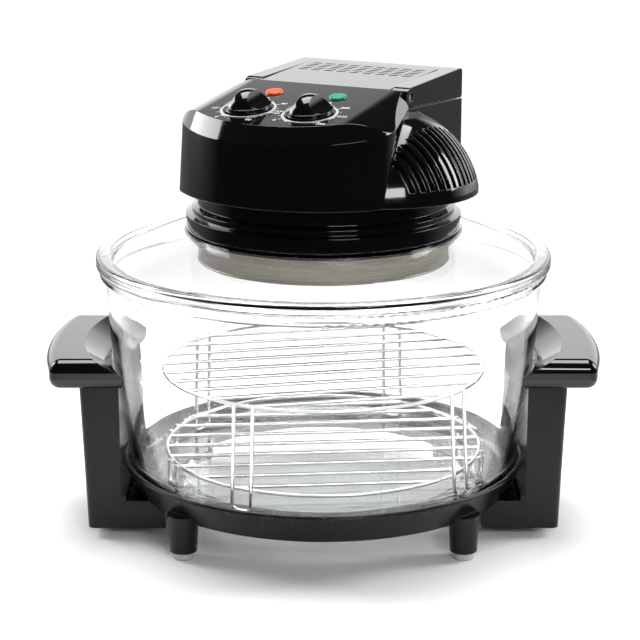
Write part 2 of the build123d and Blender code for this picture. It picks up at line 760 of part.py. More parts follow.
with BuildPart() as head_collar:
    with BuildSketch(Plane.XZ):
        Polygon(
            (collar_hole_radius, collar_bottom),
            (spigot_radius - collar_spigot_width, collar_bottom),
            (spigot_radius - collar_spigot_width, pan_top),
            (spigot_radius, pan_top),
            (spigot_radius, collar_bottom),
            (collar_bottom_radius, collar_bottom),
            (collar_bottom_radius, collar_skirt_top),
            (collar_step_radius, collar_skirt_top + collar_shoulder / 2),
            (collar_step_radius, collar_step_top),
            (collar_neck_radius, collar_step_top + collar_shoulder),
            (collar_neck_radius, cover_base),
            (collar_neck_radius - collar_lip_setback, cover_base),
            (collar_neck_radius - collar_lip_setback, cover_floor_top),
            (collar_neck_radius - collar_lip_setback - collar_wall, cover_floor_top),
            (collar_neck_radius - collar_lip_setback - collar_wall, collar_floor_top),
            (collar_hole_radius, collar_floor_top),
            align=None,
        )
    revolve(axis=Axis.Z)
    with BuildSketch(Plane.XY.offset(collar_floor_top)):
        with Locations(*pillar_places):
            Circle(pillar_radius)
    extrude(amount=cover_floor_top - collar_floor_top)
    with BuildSketch(Plane.XY.offset(collar_floor_top)):
        with Locations(*motor_posts):
            Circle(motor_post_radius)
    extrude(amount=bracket_height - collar_floor_top)
    with BuildSketch(Plane.XY.offset(pan_top)):
        with Locations(*clamp_places):
            Circle(screw_radius + fit_gap)
    extrude(amount=collar_floor_top - pan_top - 1.0, mode=Mode.SUBTRACT)
    with BuildSketch(Plane.XY.offset(collar_bottom)):
        with Locations(*pillar_places):
            Circle(screw_radius + fit_gap)
    extrude(amount=cover_floor_top - collar_bottom, mode=Mode.SUBTRACT)
    with BuildSketch(Plane.XY.offset(pan_top)):
        with Locations(*pillar_places):
            Circle(screw_head_radius + fit_gap)
    extrude(amount=cover_floor_top - cover_screw_length / 2 - pan_top, mode=Mode.SUBTRACT)


# --- head cover ---------------------------------------------------------------------------------------
def rebate_floor(y):
    """Height of the floor under the carry handle's arms."""
    front = handle_front_bottom - swing_gap
    back = handle_back_bottom - swing_gap
    return front + (back - front) * y / block_back


def head_form(inset):
    """The cover's outside, drawn in by inset on every side."""
    base = cover_base + inset
    top = deck_back_height + cut_margin
    with BuildPart() as console:
        with BuildSketch(Plane.XY.offset(base)):
            slant = (flank_reach - console_half_width) / flank_front
            Polygon(
                (console_half_width - inset, -inset),
                (console_half_width - inset + slant * 2 * flank_front, -2 * flank_front),
                (console_half_width - inset + slant * 2 * flank_front, -2 * cover_radius),
                (-console_half_width + inset - slant * 2 * flank_front, -2 * cover_radius),
                (-console_half_width + inset - slant * 2 * flank_front, -2 * flank_front),
                (-console_half_width + inset, -inset),
                align=None,
            )
        extrude(amount=top - base)
        with Locations((0, 0, base)):
            Cone(cover_radius - inset, cover_radius - inset - (top - base) * tan(radians(cover_draft)),
                 top - base, align=(Align.CENTER, Align.CENTER, Align.MIN), mode=Mode.INTERSECT)
        corners = console.edges().filter_by(lambda e: abs((e @ 0).Z - (e @ 1).Z) > panel_rise / 2 and
                                              (e @ 0.5).Y < -flank_front / 2)
        fillet(corners, flank_round)
        split(bisect_by=Plane(panel.origin - panel.z_dir * inset, x_dir=panel.x_dir, z_dir=panel.z_dir),
              keep=Keep.BOTTOM)
        panel_face = console.faces().sort_by(Axis.Z)[-1]
        rim = panel_face.edges().filter_by(lambda e: (e @ 0.5).Y < -inset - 1)
        lean = atan2(bevel_width, bevel_drop)
        width = bevel_width - inset * (1 - tan(radians(45) - lean / 2))
        drop = bevel_drop - inset * (1 - tan(lean / 2))
        chamfer(rim, width, drop, reference=panel_face)
        with BuildSketch(Plane(origin=panel.origin, x_dir=panel.x_dir, z_dir=-panel.y_dir)):
            for side in (1, -1):
                with BuildLine():
                    reach = crown_round - inset
                    diagonal = reach * sin(radians(45))
                    arc = ThreePointArc((side * crown_flat, -inset),
                                        (side * (crown_flat + diagonal), diagonal - crown_round),
                                        (side * (crown_flat + reach), -crown_round))
                    Polyline(arc @ 1, (side * 2 * cover_radius, -crown_round),
                             (side * 2 * cover_radius, crown_round), (side * crown_flat, crown_round),
                             arc @ 0)
                make_face()
        extrude(amount=2 * cover_radius, mode=Mode.SUBTRACT)
    with BuildPart() as form:
        profile = [
            (dome_radius - inset, base),
            (dome_radius - inset, dome_band_top),
            (dome_mid_radius - inset * cos(radians(dome_mid_lean)),
             dome_mid_height - inset * sin(radians(dome_mid_lean))),
            (dome_top_radius - inset * sin(radians(dome_mid_lean)), dome_top_height - inset),
        ]
        for dome_x in (dome_left_x, dome_right_x):
            with BuildSketch(Plane(origin=(dome_x, dome_y, 0), x_dir=(1, 0, 0), z_dir=(0, -1, 0))):
                with BuildLine():
                    Polyline((0, profile[3][1]), (0, base), profile[0], profile[1])
                    ThreePointArc(profile[1], profile[2], profile[3])
                    Line(profile[3], (0, profile[3][1]))
                make_face()
            revolve(axis=Axis((dome_x, dome_y, 0), (0, 0, 1)))
        with BuildSketch(Plane.XY.offset(base)):
            with Locations((0, (block_back - inset) / 2 - inset / 2)):
                Rectangle(2 * (block_half_width - inset), block_back)
        extrude(amount=top - base)
        add(console.part)
        with BuildSketch(Plane.YZ.offset(-2 * cover_radius)):
            Polygon((-inset, panel_height - inset),
                    (2 * block_back, panel_height + 2 * deck_rise - inset),
                    (2 * block_back, top + cut_margin), (-inset, top + cut_margin), align=None)
        extrude(amount=4 * cover_radius, mode=Mode.SUBTRACT)
        inner = deck_half_width - inset
        for side in (1, -1):
            with BuildSketch(Plane.YZ.offset(side * inner)):
                Polygon((-inset, rebate_floor(-inset) - inset),
                        (2 * block_back, rebate_floor(2 * block_back) - inset),
                        (2 * block_back, top + cut_margin), (-inset, top + cut_margin), align=None)
            extrude(amount=side * (2 * block_half_width), mode=Mode.SUBTRACT)
        with BuildSketch(Plane.YZ.offset(-2 * block_half_width)):
            Polygon((deck_back - inset, rebate_floor(deck_back) - inset),
                    (2 * block_back, rebate_floor(2 * block_back) - inset),
                    (2 * block_back, top + cut_margin), (deck_back - inset, top + cut_margin), align=None)
        extrude(amount=4 * block_half_width, mode=Mode.SUBTRACT)
    return form.part


outer_form = head_form(0)
with BuildPart() as pillars:
    with BuildSketch(Plane.XY.offset(cover_base)):
        with Locations(*pillar_places):
            Circle(pillar_radius)
    extrude(amount=deck_back_height - cover_base)
    with BuildSketch(Plane.XY.offset(cover_base)):
        with Locations(*pillar_places):
            Circle(screw_radius + fit_gap)
    extrude(amount=cover_screw_length, mode=Mode.SUBTRACT)

with BuildPart() as cavity:
    add(head_form(cover_wall))
    add(pillars.part, mode=Mode.SUBTRACT)

core_bottom = bracket_height + bracket_sheet
core_top = core_bottom + core_height
knob_places = ((-knob_x, knob_y, timer_knob_angle), (knob_x, knob_y, thermostat_knob_angle))
plunger_floor = rebate_floor(plunger_y)
switch_top = rebate_floor(plunger_y + switch_length / 2) - cover_wall - seat_gap

with BuildPart() as head_cover:
    add(outer_form)
    add(cavity.part, mode=Mode.SUBTRACT)
    with BuildSketch(Plane.XY.offset(cover_base)):
        Circle(collar_neck_radius - collar_lip_setback + fit_gap)
    extrude(amount=cover_wall, mode=Mode.SUBTRACT)
    for side in (1, -1):
        with BuildSketch(Plane.YZ.offset(side * rib_inner)):
            for index in range(rib_slots):
                y = rib_first_y + index * rib_pitch
                rise = sqrt(rib_arc_radius ** 2 - (y - rib_arc_y) ** 2)
                top = rib_arc_top - rib_arc_radius + rise
                with Locations((y, (rib_bottom + top) / 2)):
                    Rectangle(rib_slot_width, top - rib_bottom)
        extrude(amount=side * dome_radius, mode=Mode.SUBTRACT)
    with BuildSketch(Plane.XY.offset(deck_back_height - 3 * cover_wall)):
        depth = (deck_vent_rows - 1) * deck_vent_pitch_y
        with Locations((0, deck_vent_first_y + depth / 2)):
            with GridLocations(deck_vent_pitch_x, deck_vent_pitch_y, deck_vent_columns, deck_vent_rows):
                SlotOverall(deck_vent_length, deck_vent_width)
    extrude(amount=4 * cover_wall, mode=Mode.SUBTRACT)
    with BuildSketch(panel.offset(-2 * cover_wall)):
        for x, y, turn in knob_places:
            with Locations((x, y)):
                Circle(bush_radius + fit_gap)
        with Locations((-lamp_x, lamp_y), (lamp_x, lamp_y)):
            Circle(lamp_radius + fit_gap)
    extrude(amount=3 * cover_wall, mode=Mode.SUBTRACT)
    with BuildSketch(Plane.XY.offset(plunger_floor - 2 * cover_wall)):
        with Locations((plunger_x, plunger_y)):
            Circle(plunger_radius + run_gap)
    extrude(amount=3 * cover_wall, mode=Mode.SUBTRACT)
    pin_inner = block_half_width - handle_pin_length
    for side in (1, -1):
        with BuildSketch(Plane.YZ.offset(side * (pin_inner - cover_wall))):
            with Locations((handle_pivot_y, handle_pivot_z)):
                Circle(handle_pin_radius + fit_gap)
        extrude(amount=side * (handle_pin_length + 2 * cover_wall), mode=Mode.SUBTRACT)
    with BuildSketch(Plane.XZ.offset(-block_back - cover_wall)):
        with Locations((0, gland_height)):
            Circle(gland_radius + fit_gap)
    extrude(amount=3 * cover_wall, mode=Mode.SUBTRACT)

with BuildPart() as cover_screws:
    with Locations(*[(x, y, cover_floor_top - cover_screw_length / 2) for x, y in pillar_places]):
        Cylinder(screw_radius, cover_screw_length - 1, align=(Align.CENTER, Align.CENTER, Align.MIN))
        Cylinder(screw_head_radius, screw_head_height, align=(Align.CENTER, Align.CENTER, Align.MAX))

# --- carry handle -------------------------------------------------------------------------------------
with BuildPart() as carry_handle:
    inner = block_half_width - handle_arm_width
    with BuildSketch(Plane.YZ.offset(-block_half_width)):
        Polygon(
            (handle_pivot_y, handle_front_bottom),
            (handle_pivot_y, handle_front_top),
            (block_back, handle_back_top),
            (block_back, handle_back_bottom),
            align=None,
        )
        with Locations((handle_pivot_y, handle_pivot_z)):
            Circle(handle_end_radius)
    extrude(amount=2 * block_half_width)
    fillet(carry_handle.edges().filter_by(Axis.Z, 15).group_by(Axis.Y)[-1], handle_corner_round)
    with BuildSketch(Plane.XY.offset(handle_back_bottom - 5)):
        with Locations((0, (block_back - handle_bar_depth) / 2 - block_back / 2)):
            Rectangle(2 * inner, block_back - handle_bar_depth + block_back)
    extrude(amount=handle_back_top - handle_back_bottom + 10, mode=Mode.SUBTRACT)
    with BuildSketch(Plane.YZ.offset(-block_half_width)):
        with Locations((handle_pivot_y, handle_pivot_z)):
            Circle(handle_pin_radius + run_gap)
    extrude(amount=2 * block_half_width, mode=Mode.SUBTRACT)

with BuildPart() as handle_pins:
    for side in (1, -1):
        with BuildSketch(Plane.YZ.offset(side * (block_half_width - handle_pin_length))):
            with Locations((handle_pivot_y, handle_pivot_z)):
                Circle(handle_pin_radius)
        extrude(amount=side * (handle_pin_length - 1))

# --- controls -----------------------------------------------------------------------------------------
def knob(x, y, turn):
    """A round skirt with a rounded blade across it, scooped out on both sides."""
    place = Plane(panel.from_local_coords((x, y, knob_gap)), z_dir=panel.z_dir,
                  x_dir=panel.x_dir.rotate(Axis((0, 0, 0), panel.z_dir), turn))
    scoop = knob_blade / 2 + knob_scoop_radius
    with BuildPart(place) as form:
        with BuildSketch(Plane(place.origin, x_dir=place.x_dir, z_dir=-place.y_dir)):
            with BuildLine():
                crown = TangentArc((0, knob_height), (knob_skirt_radius - knob_rim, knob_skirt_height),
                                   tangent=(1, 0))
                Polyline(crown @ 1, (knob_skirt_radius, knob_skirt_height), (knob_skirt_radius, 0), (0, 0),
                         crown @ 0)
            make_face()
        revolve(axis=Axis(place.origin, place.z_dir))
        with Locations((scoop, 0, knob_scoop_height + knob_scoop_radius),
                       (-scoop, 0, knob_scoop_height + knob_scoop_radius)):
            Cylinder(knob_scoop_radius, 3 * knob_skirt_radius, rotation=(90, 0, 0), mode=Mode.SUBTRACT)
        Cylinder(spindle_radius + fit_gap, knob_bore_depth, align=(Align.CENTER, Align.CENTER, Align.MIN),
                 mode=Mode.SUBTRACT)
    return form.part


def spindle(x, y):
    with BuildPart(Plane(panel.from_local_coords((x, y, knob_gap + knob_bore_depth - end_gap)),
                         z_dir=panel.z_dir, x_dir=panel.x_dir)) as form:
        Cylinder(spindle_radius, knob_bore_depth + knob_gap + cover_wall + spindle_hole - 2 * end_gap,
                 align=(Align.CENTER, Align.CENTER, Align.MAX))
    return form.part


def control_unit(x, y, radius, depth):
    """A timer or thermostat body under the panel, with the bush its spindle turns in."""
    with BuildPart(Plane(panel.from_local_coords((x, y, -cover_wall)), z_dir=panel.z_dir,
                         x_dir=panel.x_dir)) as form:
        Cylinder(radius, depth, align=(Align.CENTER, Align.CENTER, Align.MAX))
        Cylinder(bush_radius, cover_wall + bush_rise, align=(Align.CENTER, Align.CENTER, Align.MIN))
        with Locations((0, 0, cover_wall + bush_rise)):
            Cylinder(spindle_radius + run_gap, cover_wall + bush_rise + spindle_hole,
                     align=(Align.CENTER, Align.CENTER, Align.MAX), mode=Mode.SUBTRACT)
    return form.part


def scale_ring(x, y):
    with BuildPart() as form:
        with BuildSketch(panel):
            with Locations((x, y)):
                Circle(scale_radius)
                Circle(scale_radius - scale_width, mode=Mode.SUBTRACT)
        extrude(amount=scale_height)
    return form.part


def lamp(x, y):
    with BuildPart(Plane(panel.from_local_coords((x, y, -cover_wall)), z_dir=panel.z_dir,
                         x_dir=panel.x_dir)) as form:
        Cylinder(lamp_radius, cover_wall + lamp_rise, align=(Align.CENTER, Align.CENTER, Align.MIN))
        fillet(form.edges().sort_by(Axis(panel.origin, panel.z_dir))[-1], lamp_rise - 0.2)
        Cylinder(lamp_radius + lamp_flange, lamp_flange, align=(Align.CENTER, Align.CENTER, Align.MAX))
        Cylinder(lamp_radius, lamp_body_length, align=(Align.CENTER, Align.CENTER, Align.MAX))
    return form.part


with BuildPart() as timer_knob:
    add(knob(*knob_places[0]))
with BuildPart() as thermostat_knob:
    add(knob(*knob_places[1]))
with BuildPart() as timer_spindle:
    add(spindle(-knob_x, knob_y))
with BuildPart() as thermostat_spindle:
    add(spindle(knob_x, knob_y))
with BuildPart() as timer_unit:
    add(control_unit(-knob_x, knob_y, timer_radius, timer_depth))
with BuildPart() as thermostat_unit:
    add(control_unit(knob_x, knob_y, thermostat_radius, thermostat_depth))
with BuildPart() as timer_scale:
    add(scale_ring(-knob_x, knob_y))
with BuildPart() as thermostat_scale:
    add(scale_ring(knob_x, knob_y))
with BuildPart() as red_lamp:
    add(lamp(-lamp_x, lamp_y))
with BuildPart() as green_lamp:
    add(lamp(lamp_x, lamp_y))

# --- motor and fans -----------------------------------------------------------------------------------
motor_bolts_places = [(-motor_bolt_x, 0), (motor_bolt_x, 0)]

with BuildPart() as motor_bracket_lower:
    with BuildSketch(Plane.XY.offset(bracket_height)):
        Rectangle(2 * (post_x + bracket_margin), bracket_width)
        Circle(bearing_radius + fit_gap, mode=Mode.SUBTRACT)
        with Locations(*motor_posts, *motor_bolts_places):
            Circle(screw_radius + fit_gap, mode=Mode.SUBTRACT)
    extrude(amount=bracket_sheet)

with BuildPart() as motor_core:
    with BuildSketch(Plane.XY.offset(core_bottom)):
        with Locations((0, (core_back - core_front) / 2)):
            Rectangle(2 * core_half_width, core_back + core_front)
        Circle(rotor_radius + rotor_gap, mode=Mode.SUBTRACT)
        with Locations((0, core_back - core_leg - coil_thickness / 2 - 0.5)):
            Rectangle(2 * window_half_width, coil_thickness + 1, mode=Mode.SUBTRACT)
        with Locations(*motor_bolts_places):
            Circle(screw_radius + fit_gap, mode=Mode.SUBTRACT)
    extrude(amount=core_height)

with BuildPart() as motor_coil:
    with Locations((0, core_back - core_leg / 2, core_bottom + core_height / 2)):
        Box(2 * coil_half_width, core_leg + 2 * coil_thickness, core_height + 2 * coil_thickness)
        fillet(motor_coil.edges().filter_by(Axis.X), 2.0)
        Box(2 * coil_half_width, core_leg + 2 * fit_gap, core_height + 2 * fit_gap, mode=Mode.SUBTRACT)

with BuildPart() as motor_bracket_upper:
    with BuildSketch(Plane.XY.offset(core_top)):
        Rectangle(2 * core_half_width, bracket_width - 6)
        Circle(bearing_radius + fit_gap, mode=Mode.SUBTRACT)
        with Locations(*motor_bolts_places):
            Circle(screw_radius + fit_gap, mode=Mode.SUBTRACT)
    extrude(amount=bracket_sheet)

with BuildPart() as bearings:
    with Locations((0, 0, core_bottom - bearing_height), (0, 0, core_top)):
        Cylinder(bearing_radius, bearing_height, align=(Align.CENTER, Align.CENTER, Align.MIN))
        Cylinder(shaft_radius + run_gap, bearing_height, align=(Align.CENTER, Align.CENTER, Align.MIN),
                 mode=Mode.SUBTRACT)

with BuildPart() as motor_bolts:
    with Locations(*[(x, y, bracket_height) for x, y in motor_bolts_places]):
        Cylinder(screw_radius, core_height + 2 * bracket_sheet + 1.5,
                 align=(Align.CENTER, Align.CENTER, Align.MIN))
        Cylinder(screw_head_radius, screw_head_height, align=(Align.CENTER, Align.CENTER, Align.MAX))

with BuildPart() as motor_shaft:
    with Locations((0, 0, shaft_bottom)):
        Cylinder(shaft_radius, shaft_top - shaft_bottom, align=(Align.CENTER, Align.CENTER, Align.MIN))

with BuildPart() as rotor_core:
    with BuildSketch(Plane.XY.offset(core_bottom + rotor_gap)):
        Circle(rotor_radius)
        Circle(shaft_radius + fit_gap, mode=Mode.SUBTRACT)
    extrude(amount=core_height - 2 * rotor_gap)


def fan(radius, bottom, height, blades, plate_at_top):
    """A flat plate with straight blades standing on one side of it, on a hub."""
    plate = bottom + height - blade_thickness if plate_at_top else bottom
    with BuildPart() as form:
        with BuildSketch(Plane.XY.offset(plate)):
            Circle(radius)
        extrude(amount=blade_thickness)
        with BuildSketch(Plane.XY.offset(bottom)):
            Circle(fan_hub_radius)
            with PolarLocations((radius + fan_hub_radius) / 2 - blade_set_back, blades):
                Rectangle(radius - fan_hub_radius, blade_thickness)
        extrude(amount=height)
        with BuildSketch(Plane.XY.offset(bottom)):
            Circle(shaft_radius + fit_gap)
        extrude(amount=height, mode=Mode.SUBTRACT)
    return form.part


with BuildPart() as cooling_fan:
    add(fan(cooling_fan_radius, cooling_fan_bottom, cooling_fan_height, cooling_blades, False))
with BuildPart() as convection_fan:
    add(fan(convection_fan_radius, convection_fan_bottom, convection_fan_height, convection_blades, True))

with BuildPart() as fan_nut:
    with BuildSketch(Plane.XY.offset(convection_fan_bottom - fan_nut_height)):
        RegularPolygon(fan_nut_width / 2, 6, major_radius=False)
        Circle(shaft_radius + fit_gap, mode=Mode.SUBTRACT)
    extrude(amount=fan_nut_height)

with BuildPart() as bracket_screws:
    with Locations(*[(x, y, core_bottom) for x, y in motor_posts]):
        Cylinder(screw_head_radius, screw_head_height, align=(Align.CENTER, Align.CENTER, Align.MIN))
        Cylinder(screw_radius, bracket_sheet, align=(Align.CENTER, Align.CENTER, Align.MAX))

# --- switch, inlet and small electrical pieces --------------------------------------------------------
with BuildPart() as handle_switch:
    with Locations((plunger_x, plunger_y, switch_top)):
        Box(switch_width, switch_length, switch_height, align=(Align.CENTER, Align.CENTER, Align.MAX))
        Cylinder(plunger_radius + run_gap, switch_height - 2, mode=Mode.SUBTRACT,
                 align=(Align.CENTER, Align.CENTER, Align.MAX))

with BuildPart() as switch_plunger:
    arm_over = plunger_floor + swing_gap - side_gap
    with Locations((plunger_x, plunger_y, arm_over)):
        Cylinder(plunger_radius, arm_over - switch_top + 6.0, align=(Align.CENTER, Align.CENTER, Align.MAX))

with BuildPart() as cord_gland:
    with BuildSketch(Plane.XZ.offset(-block_back + cover_wall)):
        with Locations((0, gland_height)):
            Circle(gland_radius)
    extrude(amount=-(cover_wall + gland_nose))
    with BuildSketch(Plane.XZ.offset(-block_back)):
        with Locations((0, gland_height)):
            Circle(gland_flange_radius)
    extrude(amount=-gland_flange)
    with BuildSketch(Plane.XZ.offset(-block_back + cover_wall)):
        with Locations((0, gland_height)):
            Circle(gland_bore)
    extrude(amount=-(cover_wall + gland_nose), mode=Mode.SUBTRACT)

with BuildPart() as terminal_block:
    with Locations((terminal_x, block_back - cover_wall, gland_height)):
        Box(terminal_length, terminal_depth, terminal_height,
            align=(Align.CENTER, Align.MAX, Align.MAX))

with BuildPart() as thermal_cutout:
    with Locations((*polar(cutout_circle_radius, 135), collar_floor_top)):
        Cylinder(cutout_radius, cutout_height, align=(Align.CENTER, Align.CENTER, Align.MIN))

# --- write the pieces ---------------------------------------------------------------------------------
standing = {
    "base_ring": base_ring.part,
    "handle_column_right": handle_column_right.part,
    "handle_column_left": mirror(handle_column_right.part, about=Plane.YZ),
    "handle_grip_right": handle_grip_right.part,
    "handle_grip_left": mirror(handle_grip_right.part, about=Plane.YZ),
    "arm_screws": arm_screws.part,
    "grip_screws": grip_screws.part,
    "rubber_foot_front_left": Pos(-foot_x, -foot_y) * rubber_foot.part,
    "rubber_foot_front_right": Pos(foot_x, -foot_y) * rubber_foot.part,
    "rubber_foot_rear_left": Pos(-foot_x, foot_y) * rubber_foot.part,
    "rubber_foot_rear_right": Pos(foot_x, foot_y) * rubber_foot.part,
    "glass_bowl": glass_bowl.part,
    "high_rack": high_rack.part,
    "low_rack": low_rack.part,
    "glass_lid": glass_lid.part,
    "upper_gasket": upper_gasket.part,
    "lower_gasket": lower_gasket.part,
}
in_head = {
    "reflector_pan": reflector_pan.part,
    "heater_shroud": heater_shroud.part,
    "element_guard": element_guard.part,
    "heat_shield": heat_shield.part,
    "halogen_tube": halogen_tube.part,
    "tube_end_caps": tube_end_caps.part,
    "tube_clips": tube_clips.part,
    "thermostat_bulb": thermostat_bulb.part,
    "clamp_screws": clamp_screws.part,
    "head_collar": head_collar.part,
    "head_cover": head_cover.part,
    "cover_screws": cover_screws.part,
    "carry_handle": carry_handle.part,
    "handle_pins": handle_pins.part,
    "timer_knob": timer_knob.part,
    "thermostat_knob": thermostat_knob.part,
    "timer_spindle": timer_spindle.part,
    "thermostat_spindle": thermostat_spindle.part,
    "timer_unit": timer_unit.part,
    "thermostat_unit": thermostat_unit.part,
    "timer_scale": timer_scale.part,
    "thermostat_scale": thermostat_scale.part,
    "red_lamp": red_lamp.part,
    "green_lamp": green_lamp.part,
    "motor_bracket_lower": motor_bracket_lower.part,
    "motor_bracket_upper": motor_bracket_upper.part,
    "motor_core": motor_core.part,
    "motor_coil": motor_coil.part,
    "motor_bolts": motor_bolts.part,
    "bracket_screws": bracket_screws.part,
    "bearings": bearings.part,
    "motor_shaft": motor_shaft.part,
    "rotor_core": rotor_core.part,
    "cooling_fan": cooling_fan.part,
    "convection_fan": convection_fan.part,
    "fan_nut": fan_nut.part,
    "handle_switch": handle_switch.part,
    "switch_plunger": switch_plunger.part,
    "cord_gland": cord_gland.part,
    "terminal_block": terminal_block.part,
    "thermal_cutout": thermal_cutout.part,
}
pieces = dict(standing)
pieces.update({name: piece.rotate(Axis.Z, -head_turn) for name, piece in in_head.items()})

os.makedirs("parts", exist_ok=True)
for name, piece in pieces.items():
    piece.label = name
    export_step(piece, f"parts/{name}.step")
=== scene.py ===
"""Halogen oven on a pale floor: finishes, printed dials, small fittings, lights and camera."""
import json
import math
import bmesh
import bpy
from mathutils import Matrix, Vector


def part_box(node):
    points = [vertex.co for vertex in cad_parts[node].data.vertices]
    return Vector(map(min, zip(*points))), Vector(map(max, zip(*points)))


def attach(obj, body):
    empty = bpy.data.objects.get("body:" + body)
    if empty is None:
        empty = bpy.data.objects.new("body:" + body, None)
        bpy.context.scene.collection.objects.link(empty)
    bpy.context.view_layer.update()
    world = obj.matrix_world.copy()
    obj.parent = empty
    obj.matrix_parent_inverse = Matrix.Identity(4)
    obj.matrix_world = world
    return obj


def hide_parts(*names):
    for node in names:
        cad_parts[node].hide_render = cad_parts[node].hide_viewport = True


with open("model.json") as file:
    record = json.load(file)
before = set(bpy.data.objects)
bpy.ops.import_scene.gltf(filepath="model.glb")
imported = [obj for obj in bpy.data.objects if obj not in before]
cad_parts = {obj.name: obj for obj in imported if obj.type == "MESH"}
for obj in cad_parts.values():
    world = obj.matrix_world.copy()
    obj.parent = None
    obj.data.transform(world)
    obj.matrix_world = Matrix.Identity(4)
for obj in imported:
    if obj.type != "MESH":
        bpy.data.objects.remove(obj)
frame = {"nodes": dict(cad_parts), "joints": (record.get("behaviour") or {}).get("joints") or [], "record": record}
nodes = frame["nodes"]
joints = {joint["name"]: joint for joint in frame["joints"]}
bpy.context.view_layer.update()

# sizes below are in metres and angles in radians, unless a comment says otherwise
MM = 0.001
HEAD_TURN = math.radians(-28.65)       # the head's front is turned to the left of the base's

# materials
EVEN = (1.0, 1.0, 1.0)                 # a pattern that is drawn out nowhere
USUAL_PARTS = (0.3, 0.7)               # a pattern's low and high part
MIX_A, MIX_B, MIX_RESULT = 6, 7, 2     # colour sockets of a Mix node

# print on the control panel
DIAL_TICK_INNER = 21.3 * MM
DIAL_TICK_OUTER = 23.3 * MM
DIAL_TICK_SHORTER = 0.7 * MM           # each second tick ends that much sooner
DIAL_TICK_WIDTH = 0.6 * MM
DIAL_NUMBER_RADIUS = 26.1 * MM
DIAL_NUMBER_HEIGHT = 3.5 * MM
FONT_SIZE = 1.35                       # of the font, over the height of its figures
PRINT_THICKNESS = 0.06 * MM
TIMER_MARKS = ("0", "10", "20", "30", "40", "50", "60")
TIMER_SWEEP = 300                      # degrees
THERMOSTAT_MARKS = ("0", "125", "150", "175", "200", "225", "250")
THERMOSTAT_SWEEP = 270                 # degrees
CROWN_RADIUS = 17.44 * MM              # of the knob's domed crown
CROWN_CENTRE = -2.94 * MM              # of that dome, above the panel
POINTER_WIDTH = 1.3 * MM
POINTER_START = math.radians(20)
POINTER_SWEEP = math.radians(35)
POINTER_STEPS = 10

# screws seen from below
# a dark cross of painted shade stands in for each driver recess
RECESS_SIZE = 3.4 * MM
RECESS_BAR = 0.22                      # width of a cross's bar over its length
RECESS_THICKNESS = 0.04 * MM
ARM_SCREW_X = 128 * MM
ARM_SCREW_Y = 34 * MM
CLAMP_SCREW_RADIUS = 79 * MM
CLAMP_SCREWS = 6

# filament
TUBE_RING = 66 * MM
TUBE_OPENING = 42                      # degrees that its ring leaves open, at the head's front
COIL_INSET = 8                         # degrees of the tube without filament, at each end
COIL_RADIUS = 1.5 * MM
COIL_WIRE = 0.28 * MM                  # radius
COIL_TURNS = 120
COIL_STEPS = 8                         # points a turn

# welds of the racks
RACKS = (
    # name, ring radius, height of its grid, turn, angle of its legs
    ("high_rack_welds", 121.5 * MM, 119 * MM, math.radians(12), math.radians(51)),
    ("low_rack_welds", 120 * MM, 56 * MM, math.radians(5), math.radians(20)),
)
RACK_WIRE_PITCH = 24 * MM
RACK_WIRES_A_SIDE = 4                  # on each side of the middle wire
LEG_HALF_WIDTH = 7.5 * MM
LEG_OUTSIDE_RING = 1.5 * MM
WELD_RADIUS = 1.75 * MM

# beads of the heater shroud and ribs of the cord gland
BEAD_RADIUS = 0.9 * MM
BEAD_UNDER_FLANGE = 2.2 * MM
BEAD_SUNK = 0.2 * MM
BEAD_SIDES = 10
BEAD_STEPS = 128
RIB_PLACES = (1.2 * MM, 3.2 * MM, 5.2 * MM)
RIB_RADII = (6.7 * MM, 6.5 * MM)
RIB_DEPTH = 0.9 * MM
RIB_SIDES = 40

# glass lid
LID_RIM_WIDTH = 10.5 * MM
LID_RIM_HEIGHT = 8.4 * MM
LID_FOOT_WIDTH = 11.6 * MM
LID_FOOT_HEIGHT = 2.2 * MM
LID_SKIRT_HEIGHT = 4.0 * MM
LID_LIP_RADIUS = 103.0 * MM
LID_HOLE_RADIUS = 86.0 * MM
LID_LIP_WALL = 5.0 * MM
LID_DOME_WALL = 2.6 * MM               # measured straight down
LID_DOME_BULGE = 1.6 * MM
LID_RIM_ROUND = 3.0 * MM               # outer top edge of the rim
LID_RIM_INNER_ROUND = 1.2 * MM
LID_LIP_ROUND = 2.5 * MM               # where the dome meets the lip, on top
LID_HOLE_ROUND = 0.5 * MM
LID_EDGE_ROUND = 0.8 * MM              # every other edge
LID_ROUND_STEPS = 6
LID_DOME_WALLS = 40 * MM               # only the dome's walls are longer than this
LID_DOME_CUTS = 15
LID_TURN_STEPS = 240

# studio
SURROUND_SEEN = 1.08                   # brightness of the surround seen straight or through glass
SURROUND_GLOSSED = 1.8                 # and where gloss shows the lit wall behind the object
SURROUND_SPREAD = 0.25                 # and as it lightens the shadows
WALL_FADES = (
    # the lit wall behind the object: axis of the way, from and to where on it, first and last
    ("Z", (-0.12, 0.02), 0.21, 1.0),
    ("Z", (0.30, 0.525), 1.0, 0.0),
    ("Y", (0.0, 0.45), 0.0, 1.0),
)
FLOOR_RADIUS = 0.85
FLOOR_SOLID = 0.45                     # radius at which the floor starts to fade
FLOOR_SIDES = 96
SOFT_BOXES = (
    # name, place, what it looks at, width, height, watts
    ("left_box", (-1.2, 0.5, 0.9), (0, 0, 0.2), 0.7, 0.7, 14),
    ("right_box", (1.3, 0.2, 0.8), (0, 0, 0.2), 0.5, 0.7, 12),
    ("top_box", (0.0, 0.3, 1.6), (0, 0, 0.1), 1.2, 1.0, 34),
    ("front_fill", (0.5, -1.6, 0.9), (0, 0, 0.15), 0.7, 0.35, 10),
)
CAMERA_PLACE = (-0.0025, -1.450, 0.5404)
CAMERA_DROP = 14.97                    # degrees below level
CAMERA_SENSOR = 36                     # mm
CAMERA_REACH = 1978 / 640              # focal length over the sensor's width


